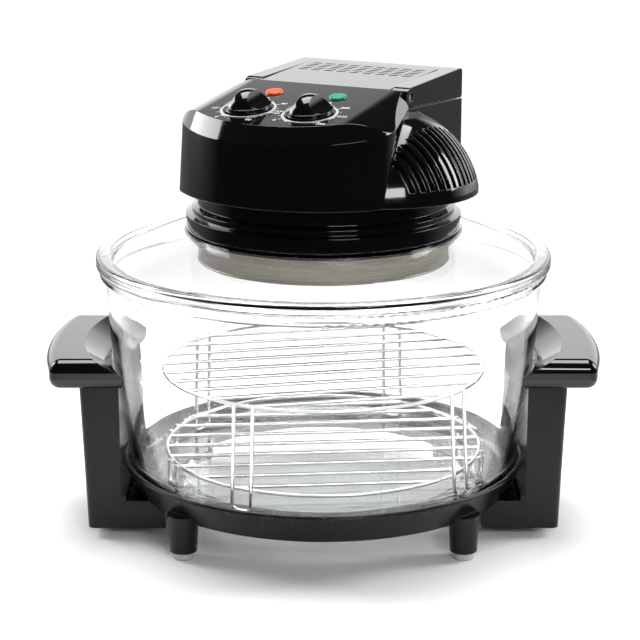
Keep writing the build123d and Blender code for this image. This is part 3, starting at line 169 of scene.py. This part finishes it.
# --- materials ------------------------------------------------------------------------------
def linear(code):
    """A linear RGBA colour from an sRGB hex code."""
    parts = [int(code[i:i + 2], 16) / 255 for i in (1, 3, 5)]
    return (*[c / 12.92 if c <= 0.04045 else ((c + 0.055) / 1.055) ** 2.4 for c in parts], 1.0)


def add(tree, kind, sockets=None, **settings):
    """Adds a node with its settings; a socket gets a value, or a link from another's output."""
    node = tree.nodes.new(kind)
    for name, value in settings.items():
        setattr(node, name, value)
    for socket, value in (sockets or {}).items():
        if isinstance(value, bpy.types.NodeSocket):
            tree.links.new(value, node.inputs[socket])
        else:
            node.inputs[socket].default_value = value
    return node


def new_finish(name, **sockets):
    """A new material with one shader: its name, node tree, shader and object coordinates."""
    made = bpy.data.materials.new(name)
    made.use_nodes = True
    tree = made.node_tree
    tree.nodes.clear()
    values = {socket.replace("_", " "): value for socket, value in sockets.items()}
    shader = add(tree, "ShaderNodeBsdfPrincipled", values)
    add(tree, "ShaderNodeOutputMaterial", {"Surface": shader.outputs["BSDF"]})
    place = add(tree, "ShaderNodeTexCoord").outputs["Object"]
    return made, tree, shader, place


def grain(tree, place, size, detail=2.0, stretch=EVEN):
    """A mottled pattern with features size metres wide, drawn out where stretch is under 1."""
    spread = add(tree, "ShaderNodeMapping",
                 {"Vector": place, "Scale": tuple(share / size for share in stretch)})
    return add(tree, "ShaderNodeTexNoise", {"Vector": spread.outputs["Vector"], "Scale": 1.0,
                                            "Detail": detail}).outputs["Fac"]


def turned_lines(tree, place, pitch):
    """Lines round the vertical axis, about pitch metres apart, on walls and flat rings alike."""
    apart = add(tree, "ShaderNodeSeparateXYZ", {"Vector": place})
    flat = add(tree, "ShaderNodeCombineXYZ", {"X": apart.outputs["X"], "Y": apart.outputs["Y"]})
    radius = add(tree, "ShaderNodeVectorMath", {0: flat.outputs["Vector"]}, operation="LENGTH")
    rolled = add(tree, "ShaderNodeCombineXYZ",
                 {"X": radius.outputs["Value"], "Y": apart.outputs["Z"]})
    lines = add(tree, "ShaderNodeVectorMath", {0: rolled.outputs["Vector"], 1: (1 / pitch,) * 3},
                operation="MULTIPLY")
    return add(tree, "ShaderNodeTexNoise", {"Vector": lines.outputs["Vector"], "Scale": 1.0,
                                            "Detail": 3.0}).outputs["Fac"]


def surface(tree, shader, gloss=None, tint=None, relief=None, soft_edge=0.0):
    """Lets patterns drive what the shader shows.

    gloss is a pattern, the roughness at its low part and at its high part, and, where they aren't
    the usual ones, where those parts are. tint is a pattern and the hex colours at its two ends.
    relief is a pattern and the metres that it stands up, and edges are shaded round by soft_edge.
    """
    if gloss:
        pattern, low, high, start, end = (*gloss, *USUAL_PARTS)[:5]
        rough = add(tree, "ShaderNodeMapRange", {"Value": pattern, "From Min": start,
                                                 "From Max": end, "To Min": low, "To Max": high})
        tree.links.new(rough.outputs["Result"], shader.inputs["Roughness"])
    if tint:
        pattern, first, second = tint
        colour = add(tree, "ShaderNodeMix", {"Factor": pattern, MIX_A: linear(first),
                                             MIX_B: linear(second)}, data_type="RGBA")
        tree.links.new(colour.outputs[MIX_RESULT], shader.inputs["Base Color"])
    if relief:
        pattern, depth = relief
        bump = add(tree, "ShaderNodeBump", {"Height": pattern, "Distance": depth})
        tree.links.new(bump.outputs["Normal"], shader.inputs["Normal"])
        if soft_edge:
            rounded = add(tree, "ShaderNodeBevel", {"Radius": soft_edge}, samples=8)
            tree.links.new(rounded.outputs["Normal"], bump.inputs["Normal"])


def one_grain(name, size, detail, stretch, low, high, first, second, depth, sockets):
    """A finish whose one grain drives its gloss, its colour and its relief together."""
    made, tree, shader, place = new_finish(name, **sockets)
    pattern = grain(tree, place, size * MM, detail, stretch)
    surface(tree, shader, (pattern, low, high), (pattern, first, second), (pattern, depth * MM))
    return made


# --- finishes -------------------------------------------------------------------------------
ONE_GRAIN_FINISHES = {
    # slot: material, grain in mm, detail, stretch, lowest and highest roughness,
    #       two colours, relief in mm, other settings of its shader

    # zinc-plated screw steel: grey-white, fine-grained and slightly streaked
    "screw_steel": ("zinc_plated_steel", 1.5, 4.0, EVEN, 0.24, 0.42,
                    "#a9abae", "#c8c9c8", 0.01, {"Metallic": 1.0}),
    # cured silicone seals: dull dark grey with a soft bloom
    "silicone": ("cured_silicone", 4.0, 3.0, EVEN, 0.4, 0.6,
                 "#39393a", "#4b4b4b", 0.02, {"IOR": 1.41, "Sheen_Weight": 0.15}),
    # glazed steatite of the lamp's end caps: off-white with tiny pits
    "ceramic": ("glazed_ceramic", 1.0, 3.0, EVEN, 0.18, 0.34,
                "#e4e0d3", "#f3f1ea", 0.02, {"IOR": 1.6, "Coat_Weight": 0.4}),
    # pressed mineral-fibre board: buff, open-grained, with short fibres
    "fibre_board": ("pressed_mineral_board", 3.0, 6.0, (1.0, 0.25, 1.0), 0.75, 0.95,
                    "#b5a98e", "#d6cdb8", 0.12, {"IOR": 1.5}),
    # cream phenolic cases of timer, thermostat and switch: hard, slightly glossy, flow-marked
    "unit_case": ("moulded_phenolic", 8.0, 4.0, (1.0, 0.4, 1.0), 0.32, 0.48,
                  "#c9c2ae", "#dcd7c8", 0.02, {"IOR": 1.6}),
    # silver pad print: metallic flakes in a thin ink film, broken a little where fingers rub;
    # the flakes are drawn coarser than real ones, to show
    "scale_silver": ("pad_printed_silver", 0.4, 2.0, EVEN, 0.22, 0.42,
                     "#c3c4c5", "#e8e8e8", 0.01, {"Metallic": 0.75}),
    # white pad-printed ink: slightly uneven film over the black
    "ink": ("pad_printed_white", 0.5, 2.0, EVEN, 0.4, 0.55,
            "#c9c9c6", "#efefec", 0.01, {"IOR": 1.5}),
    # a stack of stamped silicon-steel sheets under varnish: grey with fine level lines
    "laminations": ("stamped_laminations", 0.6, 1.0, (0.02, 0.02, 1.0), 0.35, 0.55,
                    "#565656", "#8b8b8a", 0.08, {"Metallic": 0.8}),
    # enamelled copper winding: orange-brown with the turns just showing, drawn thicker than
    # real wire so that they do
    "copper": ("taped_copper_winding", 0.7, 1.0, (1.0, 0.03, 1.0), 0.25, 0.4,
               "#8a4a22", "#c87b46", 0.1, {"Metallic": 0.7}),
    # pressed aluminium fan sheet: pale, lightly rolled in one direction
    "fan_metal": ("pressed_aluminium", 2.5, 4.0, (1.0, 0.12, 1.0), 0.26, 0.42,
                  "#b8babc", "#d2d3d4", 0.02, {"Metallic": 1.0}),
    # drawn tungsten of the filament: dark grey metal
    "tungsten": ("tungsten_wire", 0.8, 2.0, EVEN, 0.3, 0.45,
                 "#6b6863", "#8d8a85", 0.01, {"Metallic": 1.0}),
    # painted shade inside a driver recess: steel coloured dark to stand for the shade there
    "recess": ("painted_recess_shade", 0.6, 3.0, EVEN, 0.45, 0.7,
               "#1b1b1c", "#2e2e2f", 0.02, {"Metallic": 0.9}),
}


def polished_moulded_abs():
    """Polished injection-moulded ABS: deep black, mirror-like, with faint smears and dust."""
    made, tree, shader, place = new_finish("polished_moulded_abs", IOR=1.53)
    specks = grain(tree, place, 0.5 * MM, 1.0)
    dust = add(tree, "ShaderNodeMapRange", {"Value": specks, "From Min": 0.76, "From Max": 0.80})
    surface(tree, shader, (grain(tree, place, 22 * MM, 4.0), 0.035, 0.11),
            (dust.outputs["Result"], "#08080a", "#3b3b3c"),
            (grain(tree, place, 3.5 * MM, 1.0), 0.004 * MM), soft_edge=0.8 * MM)
    return made


def satin_moulded_polypropylene():
    """Glass-filled polypropylene from a lightly grained mould: black, with a soft wide sheen."""
    made, tree, shader, place = new_finish("satin_moulded_polypropylene", IOR=1.49,
                                           Specular_IOR_Level=0.29)
    rubbed = grain(tree, place, 30 * MM, 5.0)
    surface(tree, shader, (rubbed, 0.20, 0.34), (rubbed, "#08080a", "#0f0f10"),
            (grain(tree, place, 0.7 * MM), 0.012 * MM), soft_edge=0.6 * MM)
    return made


def moulded_nylon():
    """Unpolished black nylon of the inner mouldings: even, dull, a little mottled."""
    made, tree, shader, place = new_finish("moulded_nylon", IOR=1.53)
    mottle = grain(tree, place, 6 * MM, 4.0)
    surface(tree, shader, (mottle, 0.42, 0.58), (mottle, "#141415", "#1d1d1e"),
            (grain(tree, place, 0.6 * MM), 0.02 * MM))
    return made


def borosilicate_glass():
    """Pressed borosilicate glass: clear, with slow mould ripple and a few water marks."""
    made, tree, shader, place = new_finish("borosilicate_glass", IOR=1.473,
                                           Transmission_Weight=1.0, Base_Color=linear("#fdfefe"))
    surface(tree, shader, (grain(tree, place, 14 * MM, 5.0), 0.0, 0.05, 0.55, 0.75),
            relief=(grain(tree, place, 40 * MM, 1.0), 0.12 * MM))
    return made


def clear_quartz():
    """Drawn fused quartz: clear, faintly hazed along its length."""
    made, tree, shader, place = new_finish("clear_quartz", IOR=1.458, Transmission_Weight=0.92,
                                           Base_Color=linear("#f4f1ea"))
    haze = grain(tree, place, 5 * MM, 3.0)
    surface(tree, shader, (haze, 0.02, 0.16), relief=(haze, 0.02 * MM))
    return made


def chromed_wire():
    """Chrome plate on drawn wire: near-mirror, with draw marks softened by the plating."""
    made, tree, shader, place = new_finish("chromed_wire", Metallic=1.0)
    worn = grain(tree, place, 9 * MM, 4.0)
    surface(tree, shader, (worn, 0.07, 0.2), (worn, "#d3d4d6", "#e6e6e6"),
            (grain(tree, place, 1.2 * MM), 0.012 * MM))
    return made


def spun_stainless():
    """Spun stainless sheet: soft lines round the axis that stretch what shines in it.

    The lines are further apart than real ones, so that they show.
    """
    made, tree, shader, place = new_finish("spun_stainless", Metallic=1.0, Anisotropic=0.75)
    lines = turned_lines(tree, place, 0.35 * MM)
    heat = grain(tree, place, 45 * MM, 3.0)
    surface(tree, shader, (lines, 0.2, 0.36), (heat, "#7a766e", "#949087"), (lines, 0.02 * MM))
    spun = add(tree, "ShaderNodeTangent", direction_type="RADIAL", axis="Z")
    tree.links.new(spun.outputs["Tangent"], shader.inputs["Tangent"])
    return made


def moulded_grey_rubber():
    """Grey moulded rubber of the feet: matt, scuffed and darker toward the floor."""
    made, tree, shader, place = new_finish("moulded_grey_rubber", IOR=1.52,
                                           Subsurface_Weight=0.05)
    scuffs = grain(tree, place, 3 * MM, 5.0)
    height = add(tree, "ShaderNodeSeparateXYZ", {"Vector": place}).outputs["Z"]
    low = add(tree, "ShaderNodeMapRange", {"Value": height, "From Min": 0.0, "From Max": 3 * MM,
                                           "To Min": 0.8, "To Max": 0.0})
    # darker in the lowest 3 mm, mottled by the scuffs
    darker_low = add(tree, "ShaderNodeMath", {0: low.outputs["Result"], 1: scuffs},
               operation="MULTIPLY")
    surface(tree, shader, (scuffs, 0.55, 0.75), (darker_low.outputs["Value"], "#b4b6b4", "#7d7e7c"),
            (grain(tree, place, 0.8 * MM), 0.03 * MM))
    return made


def turned_brass():
    """Turned brass: warm yellow, slightly tarnished, with cutter rings coarser than real ones."""
    made, tree, shader, place = new_finish("turned_brass", Metallic=1.0)
    tarnish = grain(tree, place, 4 * MM, 4.0)
    surface(tree, shader, (tarnish, 0.18, 0.38), (tarnish, "#c9a558", "#a8843f"),
            (turned_lines(tree, place, 0.3 * MM), 0.01 * MM))
    return made


def tinted_lens(name, deep, light):
    """Tinted polycarbonate lens: coloured through, lighter where the moulding is thin."""
    made, tree, shader, place = new_finish(name, IOR=1.585, Transmission_Weight=0.25,
                                           Specular_IOR_Level=0.22)
    depth = grain(tree, place, 5 * MM)
    surface(tree, shader, (depth, 0.08, 0.16), (depth, deep, light),
            (grain(tree, place, 1.2 * MM, 1.0), 0.02 * MM))
    return made


def make_finishes():
    """Every finish of the oven, by the slot of the nodes that wear it or by its own short name."""
    finishes = {slot: one_grain(*row) for slot, row in ONE_GRAIN_FINISHES.items()}
    finishes.update({
        "base_black": satin_moulded_polypropylene(),
        "gloss_black": polished_moulded_abs(),
        "foot_grey": moulded_grey_rubber(),
        "clear_glass": borosilicate_glass(),
        "rack_wire": chromed_wire(),
        "sheet_steel": spun_stainless(),
        "quartz": clear_quartz(),
        "brass": turned_brass(),
        "lens_red": tinted_lens("red_tinted_polycarbonate", "#f03c0c", "#ff5f28"),
        "lens_green": tinted_lens("green_tinted_polycarbonate", "#067a66", "#0f9c84"),
        "black_inner": moulded_nylon(),
    })
    return finishes


def dress_nodes(finishes):
    """Gives each CAD node its finish."""
    slots = {row["node"]: row["material_slot"] for row in frame["record"]["subparts"]}
    for name, node in nodes.items():
        node.data.materials.clear()
        node.data.materials.append(finishes[slots[name]])


# --- small pieces ---------------------------------------------------------------------------
def piece(name, shape, material, body):
    """Makes a bmesh into an object that rides on a body."""
    bmesh.ops.remove_doubles(shape, verts=shape.verts, dist=1e-7)
    bmesh.ops.recalc_face_normals(shape, faces=shape.faces)
    mesh = bpy.data.meshes.new(name)
    shape.to_mesh(mesh)
    shape.free()
    mesh.materials.append(material)
    made = bpy.data.objects.new(name, mesh)
    bpy.context.scene.collection.objects.link(made)
    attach(made, body)
    return made


def mesh_of_curve(curve):
    """Turns a curve or a word into a mesh of its own."""
    holder = bpy.data.objects.new(curve.name, curve)
    bpy.context.scene.collection.objects.link(holder)
    bpy.context.view_layer.update()
    mesh = bpy.data.meshes.new_from_object(holder)
    bpy.data.objects.remove(holder)
    return mesh


def full_turn(shape, outline, steps):
    """Spins an outline once round the vertical axis through the origin."""
    bmesh.ops.spin(shape, geom=outline, cent=(0, 0, 0), axis=(0, 0, 1),
                   angle=2 * math.pi, steps=steps, use_merge=True)


def plane_at(origin, up, along):
    """A matrix whose Z is up and whose X is along, as nearly as up allows."""
    z = Vector(up).normalized()
    x = (Vector(along) - Vector(along).dot(z) * z).normalized()
    made = Matrix((x, z.cross(x), z)).transposed().to_4x4()
    made.translation = Vector(origin)
    return made


def dial_plane(knob):
    """The panel's plane at a knob: its Z is out of the panel and its X to the panel's right."""
    low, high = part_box(f"{knob}_scale")
    out = -Vector(joints[f"{knob}_turn"]["axis"])
    right = Vector((math.cos(HEAD_TURN), math.sin(HEAD_TURN), 0))
    return plane_at((low + high) / 2, out, right)


def figures(word):
    """A number of the dials as a flat mesh centred on its own origin."""
    curve = bpy.data.curves.new("word", "FONT")
    curve.body = word
    curve.size = DIAL_NUMBER_HEIGHT * FONT_SIZE
    curve.align_x = "CENTER"
    curve.align_y = "CENTER"
    curve.extrude = PRINT_THICKNESS / 2
    return mesh_of_curve(curve)


def dial_print(knob, marks, sweep, ink):
    """Ticks and numbers printed round a knob, and nothing else."""
    place = dial_plane(knob)
    shape = bmesh.new()
    steps = 2 * (len(marks) - 1)
    first = math.radians(90 + sweep / 2)
    for step in range(steps + 1):
        numbered = step % 2 == 0
        angle = first - math.radians(sweep) * step / steps
        outer = DIAL_TICK_OUTER if numbered else DIAL_TICK_OUTER - DIAL_TICK_SHORTER
        spin = Matrix.Rotation(angle, 4, "Z")
        middle = Matrix.Translation(((DIAL_TICK_INNER + outer) / 2, 0, 0))
        size = Matrix.Diagonal((outer - DIAL_TICK_INNER, DIAL_TICK_WIDTH, PRINT_THICKNESS, 1))
        bmesh.ops.create_cube(shape, size=1.0, matrix=place @ spin @ middle @ size)
        if numbered:
            mesh = figures(marks[step // 2])
            spot = Matrix.Translation((DIAL_NUMBER_RADIUS * math.cos(angle),
                                       DIAL_NUMBER_RADIUS * math.sin(angle), 0))
            mesh.transform(place @ spot)
            shape.from_mesh(mesh)
            bpy.data.meshes.remove(mesh)
    piece(f"{knob}_dial_print", shape, ink, "lid")


def knob_pointer(knob, ink):
    """A short printed line on a knob's crown, at the end that points to the dial."""
    shape = bmesh.new()
    start = Vector((0, 0, CROWN_RADIUS + PRINT_THICKNESS / 2))
    edge = [shape.verts.new(start + Vector((side * POINTER_WIDTH / 2, 0, 0))) for side in (-1, 1)]
    line = shape.edges.new(edge)
    bmesh.ops.rotate(shape, verts=edge, cent=(0, 0, 0),
                     matrix=Matrix.Rotation(-POINTER_START, 3, "X"))
    bmesh.ops.spin(shape, geom=[*edge, line], cent=(0, 0, 0), axis=(-1, 0, 0),
                   angle=POINTER_SWEEP, steps=POINTER_STEPS)
    bmesh.ops.translate(shape, verts=shape.verts, vec=(0, 0, CROWN_CENTRE))
    bmesh.ops.recalc_face_normals(shape, faces=shape.faces)
    bmesh.ops.solidify(shape, geom=shape.faces[:], thickness=PRINT_THICKNESS)
    bmesh.ops.transform(shape, matrix=dial_plane(knob), verts=shape.verts)
    piece(f"{knob}_pointer", shape, ink, knob)


def recess_shade_crosses(name, places, metal, body):
    """A dark cross of painted shade where a driver recess would be, on each screw head, on screws that are driven
    upward.
    """
    shape = bmesh.new()
    for spot in places:
        stand = plane_at(spot, (0, 0, -1), (1, 0, 0))
        bar = Matrix.Diagonal((RECESS_SIZE, RECESS_SIZE * RECESS_BAR, RECESS_THICKNESS, 1))
        for turn in (0, math.pi / 2):
            bmesh.ops.create_cube(shape, size=1.0,
                                  matrix=stand @ (Matrix.Rotation(turn, 4, "Z") @ bar))
    piece(name, shape, metal, body)


def screw_crosses(metal):
    """Painted shade of driver recesses, as dark crosses, on the screws that can be seen from below."""
    low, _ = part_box("arm_screws")
    arms = [(x * ARM_SCREW_X, y * ARM_SCREW_Y, low.z) for x in (-1, 1) for y in (-1, 1)]
    recess_shade_crosses("arm_screw_crosses", arms, metal, "base")
    low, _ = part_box("clamp_screws")
    first = Vector((CLAMP_SCREW_RADIUS, 0, low.z))
    ring = [Matrix.Rotation(HEAD_TURN + math.radians(360 / CLAMP_SCREWS * n), 3, "Z") @ first
            for n in range(CLAMP_SCREWS)]
    recess_shade_crosses("clamp_screw_crosses", ring, metal, "lid")


def filament(metal):
    """The coiled tungsten filament inside the quartz ring."""
    low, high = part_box("halogen_tube")
    height = (low.z + high.z) / 2
    start = HEAD_TURN + math.radians(-90 + TUBE_OPENING / 2 + COIL_INSET)
    sweep = math.radians(360 - TUBE_OPENING - 2 * COIL_INSET)
    curve = bpy.data.curves.new("filament", "CURVE")
    curve.dimensions = "3D"
    curve.bevel_depth = COIL_WIRE
    curve.bevel_resolution = 1
    spline = curve.splines.new("POLY")
    count = COIL_TURNS * COIL_STEPS
    spline.points.add(count)
    for n in range(count + 1):
        along = start + sweep * n / count
        about = 2 * math.pi * n / COIL_STEPS
        reach = TUBE_RING + COIL_RADIUS * math.cos(about)
        spline.points[n].co = (reach * math.cos(along), reach * math.sin(along),
                               height + COIL_RADIUS * math.sin(about), 1)
    mesh = mesh_of_curve(curve)
    shape = bmesh.new()
    shape.from_mesh(mesh)
    bpy.data.meshes.remove(mesh)
    piece("filament", shape, metal, "lid")


def rack_welds(name, radius, height, turn, leg_angle, chrome):
    """Small chromed weld nuggets where the wires and the legs meet the ring."""
    spots = []
    for index in range(-RACK_WIRES_A_SIDE, RACK_WIRES_A_SIDE + 1):
        y = index * RACK_WIRE_PITCH
        reach = math.sqrt(radius ** 2 - y ** 2)
        spots += [(-reach, y), (reach, y)]
    leg_ring = radius + LEG_OUTSIDE_RING
    for corner in (leg_angle, math.pi - leg_angle, math.pi + leg_angle, -leg_angle):
        for side in (-1, 1):
            bend = corner + side * LEG_HALF_WIDTH / radius
            spots.append((leg_ring * math.cos(bend), leg_ring * math.sin(bend)))
    shape = bmesh.new()
    for x, y in spots:
        place = Matrix.Rotation(turn, 4, "Z") @ Matrix.Translation((x, y, height))
        bmesh.ops.create_icosphere(shape, subdivisions=2, radius=WELD_RADIUS, matrix=place)
    piece(name, shape, chrome, name.replace("_welds", ""))


def shroud_beads(metal):
    """The rolled bead round the shroud's lower edge and under its flange."""
    low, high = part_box("heater_shroud")
    radius = (high.x - low.x) / 2
    shape = bmesh.new()
    for height in (low.z + BEAD_RADIUS, high.z - BEAD_UNDER_FLANGE):
        place = (Matrix.Translation((radius - BEAD_SUNK, 0, height))
                 @ Matrix.Rotation(math.pi / 2, 4, "X"))
        made = bmesh.ops.create_circle(shape, cap_ends=False, segments=BEAD_SIDES,
                                       radius=BEAD_RADIUS, matrix=place)
        rim = list({edge for vert in made["verts"] for edge in vert.link_edges})
        full_turn(shape, made["verts"] + rim, BEAD_STEPS)
    bead = piece("shroud_beads", shape, metal, "lid")
    bead.data.shade_smooth()


def gland_ribs(rubber):
    """Ribs round the cord entry's nose."""
    low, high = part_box("cord_gland")
    out = Vector((-math.sin(HEAD_TURN), math.cos(HEAD_TURN), 0))
    middle = (low + high) / 2
    shape = bmesh.new()
    for step in RIB_PLACES:
        bmesh.ops.create_cone(shape, cap_ends=True, segments=RIB_SIDES, radius1=RIB_RADII[0],
                              radius2=RIB_RADII[1], depth=RIB_DEPTH,
                              matrix=plane_at(middle + out * step, out, (0, 0, 1)))
    piece("gland_ribs", shape, rubber, "lid")


def pressed_lid(glass):
    """The lid's glass: a thick rim that sits on the bowl, a thinner dome and a thick lip."""
    low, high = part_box("glass_lid")
    seat, top, reach = low.z, high.z, high.x
    inner = reach - LID_RIM_WIDTH
    foot = reach - LID_FOOT_WIDTH
    corners = (
        # radius, height, how far it is rounded
        (foot, seat, LID_EDGE_ROUND),
        (reach, seat, LID_EDGE_ROUND),
        (reach, seat + LID_RIM_HEIGHT, LID_RIM_ROUND),
        (inner, seat + LID_RIM_HEIGHT, LID_RIM_INNER_ROUND),
        (inner, seat + LID_SKIRT_HEIGHT, LID_EDGE_ROUND),
        (LID_LIP_RADIUS, top, LID_LIP_ROUND),
        (LID_HOLE_RADIUS, top, LID_HOLE_ROUND),
        (LID_HOLE_RADIUS, top - LID_LIP_WALL, LID_HOLE_ROUND),
        (LID_LIP_RADIUS, top - LID_LIP_WALL, LID_EDGE_ROUND),
        (LID_LIP_RADIUS, top - LID_DOME_WALL, LID_EDGE_ROUND),
        (foot, seat + LID_FOOT_HEIGHT, LID_EDGE_ROUND),
    )
    shape = bmesh.new()
    spots = [(shape.verts.new((radius, 0, height)), amount) for radius, height, amount in corners]
    shape.faces.new([vert for vert, _ in spots])
    for rounding in sorted({amount for _, amount in spots}):
        alike = [vert for vert, amount in spots if vert.is_valid and amount == rounding]
        bmesh.ops.bevel(shape, geom=alike, offset=rounding, segments=LID_ROUND_STEPS, profile=0.5,
                        affect="VERTICES", material=-1)
    for wall in [edge for edge in shape.edges if edge.calc_length() > LID_DOME_WALLS]:
        start, end = [vert.co.copy() for vert in wall.verts]
        across = (end - start).cross(Vector((0, 1, 0))).normalized()
        across *= math.copysign(1, across.z)
        cuts = bmesh.ops.subdivide_edges(shape, edges=[wall], cuts=LID_DOME_CUTS)["geom_inner"]
        for vert in [item for item in cuts if isinstance(item, bmesh.types.BMVert)]:
            along = (vert.co - start).length / (end - start).length
            vert.co += across * 4 * LID_DOME_BULGE * along * (1 - along)
    bmesh.ops.delete(shape, geom=shape.faces[:], context="FACES_ONLY")
    full_turn(shape, shape.verts[:] + shape.edges[:], LID_TURN_STEPS)
    made = piece("pressed_lid", shape, glass, "lid")
    made.data.shade_smooth()
    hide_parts("glass_lid")


# --- floor, light and camera ----------------------------------------------------------------
def paper_floor():
    """A disc of pale paper that fades out at its rim and, to hide nothing, is clear from below."""
    made, tree, shader, place = new_finish("pale_paper", IOR=1.45, Roughness=0.9)
    surface(tree, shader, tint=(grain(tree, place, 60 * MM), "#f6f6f7", "#fafafa"),
            relief=(grain(tree, place, 1.5 * MM), 0.02 * MM))
    reach = add(tree, "ShaderNodeVectorMath", {0: place}, operation="LENGTH").outputs["Value"]
    fade = add(tree, "ShaderNodeMapRange", {"Value": reach, "From Min": FLOOR_SOLID,
                                            "From Max": FLOOR_RADIUS}).outputs["Result"]
    under = add(tree, "ShaderNodeNewGeometry").outputs["Backfacing"]
    gone = add(tree, "ShaderNodeMath", {0: fade, 1: under}, operation="MAXIMUM")
    clear = add(tree, "ShaderNodeBsdfTransparent").outputs["BSDF"]
    mixed = add(tree, "ShaderNodeMixShader",
                {0: gone.outputs["Value"], 1: shader.outputs["BSDF"], 2: clear})
    tree.links.new(mixed.outputs["Shader"], tree.nodes["Material Output"].inputs["Surface"])
    shape = bmesh.new()
    bmesh.ops.create_circle(shape, cap_ends=True, segments=FLOOR_SIDES, radius=FLOOR_RADIUS)
    mesh = bpy.data.meshes.new("floor")
    shape.to_mesh(mesh)
    shape.free()
    mesh.materials.append(made)
    floor = bpy.data.objects.new("floor", mesh)
    bpy.context.scene.collection.objects.link(floor)


def surround():
    """White where it is seen; to gloss it is dim, but for a lit wall behind the object."""
    world = bpy.data.worlds.new("studio")
    world.use_nodes = True
    tree = world.node_tree
    tree.nodes.clear()
    way = add(tree, "ShaderNodeTexCoord").outputs["Generated"]
    parts = add(tree, "ShaderNodeSeparateXYZ", {"Vector": way}).outputs
    wall = 1.0
    for axis, (start, end), first, last in WALL_FADES:
        fade = add(tree, "ShaderNodeMapRange", {"Value": parts[axis], "From Min": start,
                                                "From Max": end, "To Min": first, "To Max": last})
        wall = add(tree, "ShaderNodeMath", {0: fade.outputs["Result"], 1: wall},
                   operation="MULTIPLY").outputs["Value"]
    room = add(tree, "ShaderNodeMix", {"Factor": wall, MIX_A: linear("#2a2a2b"),
                                       MIX_B: linear("#ffffff")}, data_type="RGBA")
    ray = add(tree, "ShaderNodeLightPath").outputs
    seen = add(tree, "ShaderNodeMath", {0: ray["Is Camera Ray"], 1: ray["Is Transmission Ray"]},
               operation="MAXIMUM").outputs["Value"]
    spread = add(tree, "ShaderNodeMath", {0: ray["Is Diffuse Ray"], 1: SURROUND_SPREAD},
                 operation="MULTIPLY")
    white = add(tree, "ShaderNodeMath", {0: seen, 1: spread.outputs["Value"]},
                operation="MAXIMUM")
    shown = add(tree, "ShaderNodeMix", {"Factor": white.outputs["Value"],
                                        MIX_A: room.outputs[MIX_RESULT],
                                        MIX_B: linear("#ffffff")}, data_type="RGBA")
    glossed = add(tree, "ShaderNodeMapRange", {"Value": wall, "To Min": 1.0,
                                               "To Max": SURROUND_GLOSSED})
    strength = add(tree, "ShaderNodeMix", {"Factor": seen, "A": glossed.outputs["Result"],
                                           "B": SURROUND_SEEN})
    back = add(tree, "ShaderNodeBackground", {"Color": shown.outputs[MIX_RESULT],
                                              "Strength": strength.outputs["Result"]})
    add(tree, "ShaderNodeOutputWorld", {"Surface": back.outputs["Background"]})
    bpy.context.scene.world = world


def soft_boxes():
    """Rectangular lights at both sides and above, and a weak one in front."""
    for name, where, towards, width, height, power in SOFT_BOXES:
        data = bpy.data.lights.new(name, "AREA")
        data.shape = "RECTANGLE"
        data.size = width
        data.size_y = height
        data.energy = power
        lamp = bpy.data.objects.new(name, data)
        lamp.location = where
        way = Vector(towards) - Vector(where)
        lamp.rotation_euler = way.to_track_quat("-Z", "Y").to_euler()
        bpy.context.scene.collection.objects.link(lamp)


def camera():
    """A long lens a little above the object, looking down at it."""
    data = bpy.data.cameras.new("camera")
    data.sensor_width = CAMERA_SENSOR
    data.lens = CAMERA_REACH * CAMERA_SENSOR
    made = bpy.data.objects.new("camera", data)
    made.location = CAMERA_PLACE
    made.rotation_euler = (math.radians(90 - CAMERA_DROP), 0, 0)
    bpy.context.scene.collection.objects.link(made)
    bpy.context.scene.camera = made


finishes = make_finishes()
dress_nodes(finishes)
dial_print("timer", TIMER_MARKS, TIMER_SWEEP, finishes["ink"])
dial_print("thermostat", THERMOSTAT_MARKS, THERMOSTAT_SWEEP, finishes["ink"])
knob_pointer("timer", finishes["ink"])
knob_pointer("thermostat", finishes["ink"])
screw_crosses(finishes["recess"])
filament(finishes["tungsten"])
for rack in RACKS:
    rack_welds(*rack, finishes["rack_wire"])
shroud_beads(finishes["sheet_steel"])
gland_ribs(finishes["black_inner"])
pressed_lid(finishes["clear_glass"])
paper_floor()
surround()
soft_boxes()
camera()
bpy.context.scene.view_settings.view_transform = "Standard"
